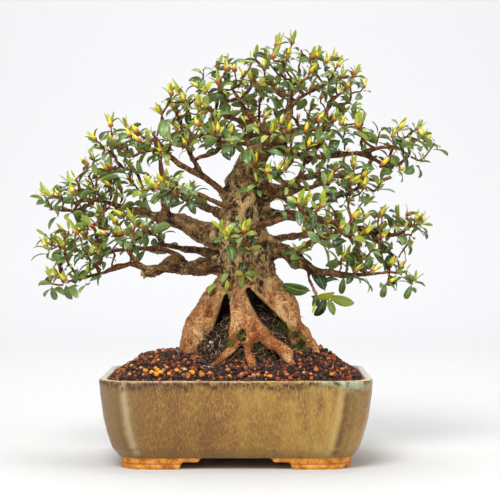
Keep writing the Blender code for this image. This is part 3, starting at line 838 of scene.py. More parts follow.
@dataclass(frozen=True)
class BarkFinish:
    """Bark that is warm and smooth on the roots, scaly on the trunk and red-brown on young wood."""

    effects: Effects
    crotch_height: float
    root: tuple = (srgb(128, 58, 22), srgb(172, 110, 56), srgb(222, 176, 124))
    trunk: tuple = (srgb(56, 40, 20), srgb(120, 94, 50), srgb(188, 160, 108))
    limb: tuple = (srgb(40, 24, 12), srgb(106, 70, 36), srgb(178, 138, 84))
    young: tuple = (srgb(46, 22, 12), srgb(116, 62, 32), srgb(178, 116, 66))
    crack: tuple = srgb(50, 35, 22)
    ridge_highlight_and_scar_tan: tuple = srgb(228, 184, 124)
    stain: tuple = srgb(104, 62, 34)
    spot: tuple = srgb(66, 40, 24)
    shade: tuple = srgb(30, 20, 14)

    def material(self) -> Material:
        """Build the material.

        Returns:
            The material.
        """
        made, graph, shader = new_material("azalea_bark")
        place = graph.place()
        height = graph.axes(place)[2]
        grown = graph.place((1.0, 1.0, 0.45))
        girth = graph.attribute("girth")
        looks = ((graph.place((1.0, 1.0, 0.7)), (44.0, 820.0), self.root, 0.95),
                 (grown, (150.0, 760.0), self.trunk, 1.5), (place, (170.0, 900.0), self.limb, 1.5),
                 (place, (200.0, 900.0), self.young, 1.2))
        root, trunk, limb, young = [self.effects.mottled(graph, *look).outputs["Colour"] for look in looks]
        level = graph.plus(height, graph.times(graph.minus(graph.noise(place, 40.0), 0.5), 0.06))
        rooted = graph.fade(level, self.crotch_height - 0.012, self.crotch_height + 0.022)
        colour = graph.layer(trunk, root, rooted)
        above = graph.ramp(height, self.crotch_height, self.crotch_height + 0.015)
        colour = graph.layer(colour, limb, graph.times(graph.fade(girth, 0.016, 0.027), above))
        colour = graph.layer(colour, young, graph.times(graph.fade(girth, 0.005, 0.009), above))
        relief = graph.add("ShaderNodeGroup", node_tree=self.effects.relief)
        graph.feed(relief, Place=grown, Plate_Scale=170.0, Grain_Scale=1100.0)
        rough_bark = graph.minus(1.0, graph.times(rooted, 0.65))
        colour = graph.layer(colour, self.crack, graph.times(relief.outputs["Cracks"], rough_bark), 0.42)
        # Pale tan on convex ridges is a painted highlight; on the healed scars it is their own pale bark.
        colour = graph.layer(colour, self.ridge_highlight_and_scar_tan, graph.times(graph.attribute("ridge_highlight_and_scar_tan"), 0.5, clamp=True))
        colour = graph.layer(colour, self.stain, graph.spots(place, 62.0, 0.52, 0.64, 5.0), 0.5)
        colour = graph.layer(colour, self.spot, graph.spots(place, 700.0, 0.57, 0.66), 0.6)
        colour = graph.layer(colour, self.shade, graph.times(graph.attribute("hollow"), 0.9, clamp=True))
        graph.feed(shader, Base_Color=colour, Roughness=0.8, Specular_IOR_Level=0.3)
        bump(graph, shader, relief.outputs["Height"], 0.0007, 0.9)
        return made


@dataclass(frozen=True)
class MottledFinish:
    """A matt finish of three tones, for soil, fibres and the like."""

    effects: Effects
    name: str
    tones: tuple
    patch: float = 250.0
    speck: float = 1500.0
    roughness: float = 0.9
    depth: float = 0.0003
    specular: float = 0.3
    metallic: float = 0.0

    def material(self) -> Material:
        """Build the material.

        Returns:
            The material.
        """
        made, graph, shader = new_material(self.name)
        tones = self.effects.mottled(graph, graph.place(), (self.patch, self.speck), self.tones)
        graph.feed(shader, Base_Color=tones.outputs["Colour"], Roughness=self.roughness,
                   Metallic=self.metallic, Specular_IOR_Level=self.specular)
        bump(graph, shader, tones.outputs["Mask"], self.depth)
        return made


@dataclass(frozen=True)
class LeafFinish:
    """Satin leaves: green with a pale midrib, yellow-green when young, duller below."""

    deep: tuple = srgb(26, 50, 18)
    old: tuple = srgb(66, 100, 34)
    pale: tuple = srgb(140, 168, 104)
    fresh: tuple = srgb(182, 192, 38)
    midrib: tuple = srgb(168, 186, 96)
    vein: tuple = srgb(134, 164, 84)
    underside: tuple = srgb(146, 166, 84)
    dry: tuple = srgb(138, 92, 44)
    stalk: tuple = srgb(158, 108, 48)
    bud: tuple = srgb(238, 212, 44)
    bud_base: tuple = srgb(176, 92, 34)

    def material(self) -> Material:
        """Build the material.

        Returns:
            The material.
        """
        made, graph, shader = new_material("azalea_leaf")
        along, across, age, under, tone = [graph.attribute(name) for name in
                                           ("along", "across", "young", "under", "tone")]
        place = graph.place()
        level = graph.plus(tone, graph.times(graph.minus(graph.noise(place, 150.0), 0.5), 0.9))
        colour = graph.blend(graph.ramp(level, 0.12, 0.62), self.deep, self.old)
        colour = graph.layer(colour, self.pale, graph.ramp(level, 0.55, 1.05))
        colour = graph.layer(colour, self.fresh, graph.ramp(age, 0.25, 0.85))
        rib = graph.times(graph.fade(across, 0.04, 0.16), graph.fade(along, 0.8, 1.0))
        colour = graph.layer(colour, self.midrib, rib, 0.5)
        waves = graph.math("SINE", graph.plus(graph.times(along, 46.0), graph.times(across, -8.0)))
        veins = graph.times(graph.ramp(waves, 0.7, 1.0), 0.2)
        colour = graph.layer(colour, self.vein, veins)
        colour = graph.layer(colour, self.underside, under, 0.6)
        dry = graph.times(graph.ramp(along, 0.86, 0.99), graph.spots(place, 60.0, 0.52, 0.6, 1.0))
        colour = graph.layer(colour, self.dry, dry, 0.8)
        colour = graph.layer(colour, self.stalk, graph.fade(along, 0.0, 0.2), 0.8)
        bud_colour = graph.blend(graph.ramp(along, 0.15, 0.5), self.bud_base, self.bud)
        colour = graph.layer(colour, bud_colour, graph.ramp(age, 1.4, 1.6))
        graph.feed(shader, Base_Color=colour, Roughness=graph.plus(0.3, graph.times(under, 0.35)),
                   Coat_Weight=graph.minus(0.3, graph.times(under, 0.3)), Coat_Roughness=0.3,
                   Specular_IOR_Level=0.5)
        bump(graph, shader, graph.minus(0.0, graph.plus(rib, veins)), 0.0002)
        return made


# ---------------------------------------------------------------- the pot


@dataclass
class Pot:
    """The glazed pot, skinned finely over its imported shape."""

    effects: Effects
    voxel: float = 0.00125
    unevenness: float = 0.0004
    foot_height: float = 0.0108
    foot_groove: float = 0.0052
    groove_depth: float = 0.0005
    groove_width: float = 0.0009
    # Widths and offset of the painted highlight and painted shade bands at the corner folds.
    fold_width: float = 0.0034
    shoulder_away: float = 0.0066
    shoulder_width: float = 0.0030

    def build(self) -> Object:
        """Make the pot.

        Returns:
            The pot's object.
        """
        rim = float(node_arrays("pot")[0][:, 2].max())
        pot = node_skin("glazed_pot", "pot", self.voxel, 2)
        points, normals = mesh_arrays(pot)
        half = np.abs(points[:, :2]).max(axis=0)
        outward = unit(np.sign(points[:, :2]) * (np.abs(points[:, :2]) / half) ** 6)
        facing = (normals[:, :2] * outward).sum(axis=1)
        floor = (normals[:, 2] > 0.5) & (points[:, 2] < rim * 0.6) & (points[:, 2] > 0.014)
        paint(pot, "inward", np.where(floor, 1.0, 0.5 - 0.5 * facing))
        wobble = smooth_noise(points, (28, 28, 20), 4.0) * self.unevenness
        wobble *= np.clip((points[:, 2] - 0.010) / 0.012, 0, 1)
        groove = np.exp(-((points[:, 2] - self.foot_groove) / self.groove_width) ** 2)
        wobble -= self.groove_depth * groove * (1 - np.abs(normals[:, 2]))
        move_vertices(pot, points + normals * wobble[:, None])
        self.paint_fold_light(pot, rim)
        finish = GlazeFinish(self.effects, rim, self.foot_height, self.foot_groove)
        return dress(pot, finish.material(), "pot_glaze", "pot")

    def paint_fold_light(self, pot: Object, rim: float) -> None:
        """Paint how near each vertex is to the upright folds beside the corners, and on which side, as masks
        for the painted highlights and painted shade there.

        Args:
            pot: The pot's skin.
            rim: The height of its rim.
        """
        points, normals = mesh_arrays(pot)
        half = np.abs(points[:, :2]).max(axis=0)
        outer = (normals[:, :2] * points[:, :2]).sum(axis=1) > 0
        seeds = (creases(pot, 3) > 0.9) & outer & (points[:, 2] > 0.016) & (points[:, 2] < rim - 0.004)
        seeds &= (np.abs(points[:, 0]) > half[0] * 0.6) & (np.abs(normals[:, 2]) < 0.6)
        tree = KDTree(int(seeds.sum()))
        for number, place in enumerate(points[seeds]):
            tree.insert(Vector(place), number)
        tree.balance()
        near = np.full(len(points), 0.05)
        side = np.zeros(len(points))
        for index in np.where(outer & (np.abs(points[:, 0]) > half[0] * 0.5))[0]:
            place, _, near[index] = tree.find(Vector(points[index]))
            side[index] = np.sign(abs(place[0]) - abs(points[index, 0]))
        paint(pot, "fold", np.exp(-(near / self.fold_width) ** 2))
        shoulder_light_band = np.exp(-((near - self.shoulder_away) / self.shoulder_width) ** 2)
        paint(pot, "shoulder_in_highlight", shoulder_light_band * (side > 0))
        paint(pot, "shoulder_out_shade", shoulder_light_band * (side < 0))


@dataclass
class PotFittings:
    """The mesh over the drainage holes, its staples and the tie wire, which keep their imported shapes."""

    effects: Effects
    plastic_nodes: tuple = ("drainage_mesh_left", "drainage_mesh_right")
    wire_nodes: tuple = ("mesh_clip_left", "mesh_clip_right", "anchor_wire")
    plastic: tuple = (srgb(24, 24, 24), srgb(40, 40, 40), srgb(58, 58, 56))
    wire: tuple = (srgb(86, 88, 92), srgb(150, 152, 156), srgb(206, 208, 212))

    def build(self) -> None:
        """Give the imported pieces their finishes."""
        plastic = MottledFinish(self.effects, "mesh_plastic", self.plastic, roughness=0.55)
        wire = MottledFinish(self.effects, "dull_wire", self.wire, roughness=0.45, metallic=0.8, depth=0.0001)
        for finish, names in ((plastic, self.plastic_nodes), (wire, self.wire_nodes)):
            made = finish.material()
            for name in names:
                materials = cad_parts[name].data.materials
                materials.clear()
                materials.append(made)
                LOG.info("%s keeps its packed shape", name)


# ---------------------------------------------------------------- the wood


@dataclass
class Wood:
    """Trunk, surface roots and limbs as one skin, grown together."""

    effects: Effects
    rim: float
    voxel: float = 0.0013
    bridge: float = 0.0005
    crotch_above_rim: float = 0.082
    thickest: float = 0.09
    slim_shrink: float = 0.17
    scar_height: float = 0.0035
    grooves: tuple = (
        ((-0.0090, 0.1600, 0.0030, 0.010), (-0.0110, 0.1440, 0.0052, 0.020),
         (-0.0150, 0.1260, 0.0072, 0.020)),
        ((0.0120, 0.1670, 0.0028, 0.008), (0.0185, 0.1560, 0.0046, 0.018), (0.0280, 0.1440, 0.0062, 0.022),
         (0.0420, 0.1290, 0.0070, 0.020)),
        ((0.0060, 0.1275, 0.0026, 0.006), (0.0065, 0.1225, 0.0030, 0.006)))
    scars: tuple = ((0.0470, 0.3170, 0.0065), (0.0300, 0.2500, 0.0040))
    names: list[str] = field(default_factory=list)
    tree: BVHTree | None = None
    points: Array | None = None
    girths: Array | None = None

    def gather(self) -> Object:
        """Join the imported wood, each piece grown a little so that they meet.

        Returns:
            The joined shape.
        """
        self.names = ["trunk", "cut_stub"] + [name for name in nodes_named("") if name.endswith("_limb")]
        all_points = []
        all_faces = []
        count = 0
        for name in self.names:
            shape = mesh_object("piece", *node_arrays(name))
            welded = bmesh.new()
            welded.from_mesh(shape.data)
            bmesh.ops.remove_doubles(welded, verts=welded.verts, dist=0.00001)
            welded.normal_update()
            all_points.append(np.array([tuple(vert.co + vert.normal * self.bridge) for vert in welded.verts]))
            all_faces.extend([vert.index + count for vert in face.verts] for face in welded.faces)
            count += len(welded.verts)
            welded.free()
            bpy.data.objects.remove(shape, do_unlink=True)
        return mesh_object("wood_shape", np.concatenate(all_points), all_faces)

    def measure_girths(self, skin: Object) -> Array:
        """Measure how thick the wood is behind each vertex.

        Args:
            skin: The wood's skin.

        Returns:
            One thickness a vertex, in metres.
        """
        points, normals = mesh_arrays(skin)
        faces = [tuple(face.vertices) for face in skin.data.polygons]
        self.tree = BVHTree.FromPolygons(points.tolist(), faces)
        girths = np.full(len(points), 0.004)
        for index, (point, normal) in enumerate(zip(points, normals)):
            hit = self.tree.ray_cast(Vector(point - normal * 0.0004), Vector(-normal), self.thickest)
            if hit[3] is not None:
                girths[index] = hit[3]
        edges = Neighbours.of(skin)
        for _ in range(12):
            girths = 0.4 * girths + 0.6 * edges.mean(girths)
        return girths

    def groove_depths(self, points: Array) -> Array:
        """Measure how deep the hollows between the roots are under points on their front.

        Args:
            points: The points, one a row.

        Returns:
            One depth a point, in metres.
        """
        depths = np.zeros(len(points))
        flat = points[:, [0, 2]]
        for groove in self.grooves:
            for (x0, z0, wide0, deep0), (x1, z1, wide1, deep1) in zip(groove, groove[1:]):
                start, along = np.array([x0, z0]), np.array([x1 - x0, z1 - z0])
                share = np.clip((flat - start) @ along / (along @ along), 0, 1)
                away = np.linalg.norm(flat - start - share[:, None] * along, axis=1)
                edge = np.clip((1.25 - away / (wide0 + (wide1 - wide0) * share)) / 0.5, 0, 1)
                depths = np.maximum(depths, (deep0 + (deep1 - deep0) * share) * edge * edge * (3 - 2 * edge))
        return depths

    def surface_push(self, points: Array, girths: Array, crotch: float) -> Array:
        """Measure how far ridges, plates, lumps and knots push the bark outward.

        Args:
            points: The skin's vertices.
            girths: How thick the wood is there.
            crotch: The height where the roots join.

        Returns:
            One distance a vertex, in metres.
        """
        rooted = np.clip((crotch + 0.01 - points[:, 2]) / 0.03, 0, 1)
        ridges = smooth_noise(points, (140, 140, 45), 1.0)
        plates = np.abs(smooth_noise(points, (230, 230, 130), 7.0))
        fine = smooth_noise(points, (560, 560, 420), 3.0)
        waves = smooth_noise(points, (150, 150, 90), 31.0) * rooted
        rough = 1 - 0.8 * rooted
        push = 0.0011 * ridges + rough * (0.0005 - 0.0026 * plates + 0.0009 * fine)
        push += 0.0006 * fine + 0.0016 * waves
        lumps = smooth_noise(points, (75, 75, 75), 12.0) * 0.0034 * np.clip((0.032 - girths) / 0.02, 0, 1)
        knots = np.clip(smooth_noise(points, (48, 48, 48), 21.0) - 0.28, 0, 1) * 0.012 * rough
        slim = np.clip((0.026 - girths) / 0.014, 0, 1) * (points[:, 2] > crotch)
        push = push * np.clip(girths / 0.03, 0.12, 1.0) + (lumps + knots) * np.clip(girths / 0.016, 0.05, 1.0)
        return push - self.slim_shrink * girths * slim

    def build(self) -> Object:
        """Make the wood.

        Returns:
            The wood's object.
        """
        skin = voxel_skin("trunk_roots_and_limbs", self.gather(), self.voxel, 4)
        self.girths = girths = self.measure_girths(skin)
        self.points, normals = mesh_arrays(skin)
        points = self.points
        crotch = self.rim + self.crotch_above_rim
        move = self.surface_push(points, girths, crotch)
        deep = self.groove_depths(points) * np.clip(0.5 - normals[:, 1] * 2.0, 0, 1)
        carved = points + normals * (move * (1 - np.clip(deep / 0.004, 0, 1)))[:, None]
        carved[:, 1] += deep
        healed = np.zeros(len(points))
        for x, z, wide in self.scars:
            away = ((points[:, 0] - x) ** 2 + (points[:, 2] - z) ** 2) / wide ** 2
            healed += np.exp(-away ** 2) * (normals[:, 1] < 0) * (points[:, 1] < 0.02)
        carved += normals * (healed * self.scar_height)[:, None]
        move_vertices(skin, carved)
        paint(skin, "girth", girths)
        # Painted shade: hollows, the backs and undersides of the roots and the grooves between them are
        # darkened through the bark's shade colour.
        folds = creases(skin, 2) * 0.5 + creases(skin, 10) * 0.9
        back = np.clip(normals @ np.array([0, 0.9, -0.45]), 0, 1)
        back *= np.clip((crotch - points[:, 2]) / 0.02, 0, 1)
        paint(skin, "hollow", np.clip(folds, 0, 1) + back * 0.8 + np.clip(deep / 0.005, 0, 1))
        # Convex ridges get the painted highlight mask; healed scars add their own pale tan.
        paint(skin, "ridge_highlight_and_scar_tan", np.clip(-folds, 0, 1) * np.clip(girths / 0.035, 0, 1) ** 2 + 1.4 * healed)
        return dress(skin, BarkFinish(self.effects, crotch).material(), "bark", *self.names)


# ---------------------------------------------------------------- leaves and twigs


@dataclass(frozen=True)
class LeafShape:
    """One leaf of unit length along X, folded along its midrib and arched down."""

    width: float
    fold: float
    arch: float
    twist: float
    thickness: float = 0.02

    def arrays(self) -> tuple[Array, Array, dict[str, Array]]:
        """Make the leaf.

        Returns:
            Its vertices, its faces, and the numbers along it, across it and for its underside.
        """
        stations = np.array([0.0, 0.07, 0.17, 0.32, 0.50, 0.68, 0.83, 0.94, 1.0])
        spread = np.array([-1.0, -0.55, 0.0, 0.55, 1.0])
        half = self.width / 2 * np.sin(math.pi * np.clip(stations, 0.0, 0.985) ** 1.2) ** 0.64
        half *= np.clip(0.25 + stations * 4.2, 0.0, 1.0)
        half[0] = 0.020
        half[-1] = 0.022
        angle = -self.arch * stations ** 1.4
        steps = np.diff(stations, prepend=0.0)
        x = np.cumsum(steps * np.cos(angle))
        z = np.cumsum(steps * np.sin(angle))
        turn = self.twist * stations[:, None]
        flat = spread * half[:, None]
        lift = (np.abs(flat) - 0.3 * spread ** 2 * half[:, None]) * self.fold + flat * np.sin(turn)
        sheets = []
        for thick in (0.0, self.thickness):
            rise = lift - thick * (1 - 0.6 * np.abs(spread))
            sheets.append(np.stack([x[:, None] - np.sin(angle)[:, None] * rise, flat * np.cos(turn),
                                    z[:, None] + np.cos(angle)[:, None] * rise], axis=2).reshape(-1, 3))
        faces = []
        wide = len(spread)
        sheet = len(stations) * wide
        numbers = {"along": np.tile(np.repeat(stations, wide), 2), "under": np.repeat([0.0, 1.0], sheet),
                   "across": np.tile(np.abs(spread), 2 * len(stations))}
        for i in range(len(stations) - 1):
            for j in range(wide - 1):
                corner = i * wide + j
                faces.append((corner, corner + wide, corner + wide + 1, corner + 1))
                below = corner + sheet
                faces.append((below, below + 1, below + wide + 1, below + wide))
            left = i * wide
            right = left + wide - 1
            faces.append((left, left + sheet, left + sheet + wide, left + wide))
            faces.append((right, right + wide, right + wide + sheet, right + sheet))
        last = (len(stations) - 1) * wide
        for j in range(wide - 1):
            faces.append((j, j + 1, j + 1 + sheet, j + sheet))
            faces.append((last + j, last + j + sheet, last + j + 1 + sheet, last + j + 1))
        return np.concatenate(sheets), np.array(faces), numbers


@dataclass(frozen=True)
class BudShape:
    """One pointed bud of unit height along X, with overlapping scales as ribs."""

    width: float = 0.30
    sides: int = 8
    stations: tuple = (0.0, 0.10, 0.28, 0.48, 0.70, 0.88, 0.97)
    outline: tuple = (0.62, 0.85, 1.0, 0.84, 0.52, 0.22, 0.08)

    def arrays(self) -> tuple[Array, Array, dict[str, Array]]:
        """Make the bud.

        Returns:
            Its vertices, its faces, and the numbers along it, across it and for its underside.
        """
        rings = []
        for along, share in zip(self.stations, self.outline):
            turns = np.arange(self.sides) * (2 * math.pi / self.sides) + along * 1.2
            ribbed = self.width / 2 * share * (1 + 0.14 * np.cos(turns * 4))
            ring = [np.full(self.sides, along), ribbed * np.cos(turns), ribbed * np.sin(turns)]
            rings.append(np.stack(ring, axis=1))
        points = np.concatenate(rings + [np.array([[-0.03, 0, 0], [1.0, 0, 0]])])
        along = np.concatenate([np.repeat(self.stations, self.sides), [0.0, 1.0]])
        zeros = np.zeros(len(points))
        numbers = {"along": along, "across": zeros + 0.6, "under": zeros}
        return points, ring_faces(len(rings), self.sides), numbers


@dataclass
class Rosette:
    """A shoot tip: rings of leaves round a pointed bud."""

    broad: list[tuple]
    narrow: list[tuple]
    bud: tuple
    rng: Generator
    longest: float = 0.0192

    @classmethod
    def make(cls, seed: int) -> Rosette:
        """Make the leaf shapes that every rosette is put together from.

        Args:
            seed: The seed of its random choices.

        Returns:
            The rosette maker.
        """
        rng = np.random.default_rng(seed)
        broad = []
        for _ in range(14):
            shape = LeafShape(width=rng.uniform(0.36, 0.50), fold=rng.uniform(0.15, 0.5),
                              arch=rng.uniform(0.35, 1.8), twist=rng.uniform(-0.6, 0.6))
            broad.append(shape.arrays())
        narrow = []
        for _ in range(5):
            shape = LeafShape(width=rng.uniform(0.24, 0.33), fold=rng.uniform(0.5, 0.8),
                              arch=rng.uniform(-0.2, 0.6), twist=rng.uniform(-0.4, 0.4))
            narrow.append(shape.arrays())
        return cls(broad, narrow, BudShape().arrays(), rng)

    def add_leaf(self, batch: Batch, base: Array, forward: Array, upward: Array, length: float,
                 young: float, tone: float) -> None:
        """Add one leaf.

        Args:
            batch: The mesh that it goes into.
            base: Where its stalk starts.
            forward: The way it points.
            upward: The way its face looks.
            length: Its length.
            young: 0 for an old leaf and 1 for a new one.
            tone: How light it is, from 0 to 1.
        """
        pool = self.narrow if young > 0.72 else self.broad
        points, faces, numbers = pool[self.rng.integers(len(pool))]
        axes = frame_of(forward, upward)
        placed = (points * length) @ axes + base + axes[0] * length * 0.05
        batch.add(placed, faces, young=young, tone=tone, **numbers)

    def add_bud(self, batch: Batch, tip: Array, axis: Array, size: float) -> None:
        """Add one bud.

        Args:
            batch: The mesh that it goes into.
            tip: The shoot's tip.
            axis: The way the shoot points.
            size: 1 for a full-sized rosette.
        """
        rng = self.rng
        points, faces, numbers = self.bud
        lean = unit(axis + rng.normal(0, 0.12, 3))
        height = rng.uniform(0.0100, 0.0155) * size
        girth = 0.0166 * size * rng.uniform(0.85, 1.15)
        placed = (points * np.array([height, girth, girth])) @ frame_of(lean, np.array([0.1, 0.9, 0.3]))
        batch.add(placed + tip - lean * 0.001, faces, young=2.0, tone=float(rng.random()), **numbers)

    def add(self, batch: Batch, tip: Array, axis: Array, size: float, fresh: float,
            with_bud: bool) -> None:
        """Add one rosette.

        Args:
            batch: The mesh that it goes into.
            tip: The shoot's tip.
            axis: The way the shoot points.
            size: 1 for a full-sized rosette.
            fresh: How many of its leaves are new, from 0 to 1.
            with_bud: Whether it holds a bud.
        """
        rng = self.rng
        axis = unit(axis)
        across = frame_of(axis, np.array([0.2, 0.9, 0.1]))
        count = int(rng.integers(4, 7) if rng.random() < 0.7 else 3)
        start = rng.uniform(0, 2 * math.pi)
        tone_here = rng.uniform(0.2, 0.8)
        for i in range(count):
            share = i / (count - 1)
            turn = start + i * GOLDEN_ANGLE + rng.normal(0, 0.2)
            lean = math.radians(84 - 56 * share + rng.normal(0, 12))
            sideways = across[1] * math.cos(turn) + across[2] * math.sin(turn)
            forward = axis * math.cos(lean) + sideways * math.sin(lean)
            upward = axis * math.sin(lean) - sideways * math.cos(lean) + np.array([0, 0, 0.25])
            upward = upward + np.cross(unit(forward), upward) * rng.normal(0, 0.5)
            length = size * self.longest * (1.0 - 0.42 * share ** 1.5) * rng.uniform(0.78, 1.15)
            base = tip - axis * 0.0095 * size * (1 - share) + sideways * 0.0006
            young = float(np.clip(share * 0.8 + fresh * 0.6 + rng.normal(0, 0.13) - 0.2, 0, 1))
            tone = float(np.clip(tone_here + rng.normal(0, 0.18), 0, 1))
            self.add_leaf(batch, base, forward, upward, length, young, tone)
        if with_bud:
            self.add_bud(batch, tip, axis, size)
            turn = rng.uniform(0, 2 * math.pi)
            for i in range(int(rng.integers(1, 4))):
                around = turn + i * 2.2
                sideways = across[1] * math.cos(around) + across[2] * math.sin(around)
                forward = unit(axis + sideways * rng.uniform(0.12, 0.4))
                self.add_leaf(batch, tip + sideways * 0.0012, forward, -sideways + axis * 0.2,
                              size * rng.uniform(0.010, 0.0155), 0.9, float(rng.uniform(0.6, 1.0)))


@dataclass
class Skeleton:
    """The places that twigs can fork from, each with the place it grew from."""

    places: list[Array]
    parents: list[int]
    loads: list[float]

    @classmethod
    def on(cls, places: Array) -> Skeleton:
        """Start from places on the limbs."""
        return cls(list(places), [-1] * len(places), [0.0] * len(places))

    def best_start(self, tip: Array) -> int:
        """Choose where the twig to a tip forks off.

        Args:
            tip: The twig's tip.

        Returns:
            The number of the place that it grows from.
        """
        away = tip - np.array(self.places)
        far = np.linalg.norm(away, axis=1)
        steep = away[:, 2] / np.maximum(far, 1e-6)
        cost = far * (1.25 - 0.4 * steep) + np.where(far < 0.008, 0.05, 0.0)
        return int(np.argmin(cost))

    def extend(self, start: int, path: Array) -> list[int]:
        """Add a twig's places.

        Args:
            start: The place that it forks from.
            path: Its points, the first of them at the start.

        Returns:
            The numbers of its places.
        """
        chain = [start]
        for point in path[1:]:
            self.places.append(point)
            self.parents.append(chain[-1])
            self.loads.append(0.0)
            chain.append(len(self.places) - 1)
        walker = chain[-1]
        while walker >= 0:
            self.loads[walker] += 1.0
            walker = self.parents[walker]
        return chain


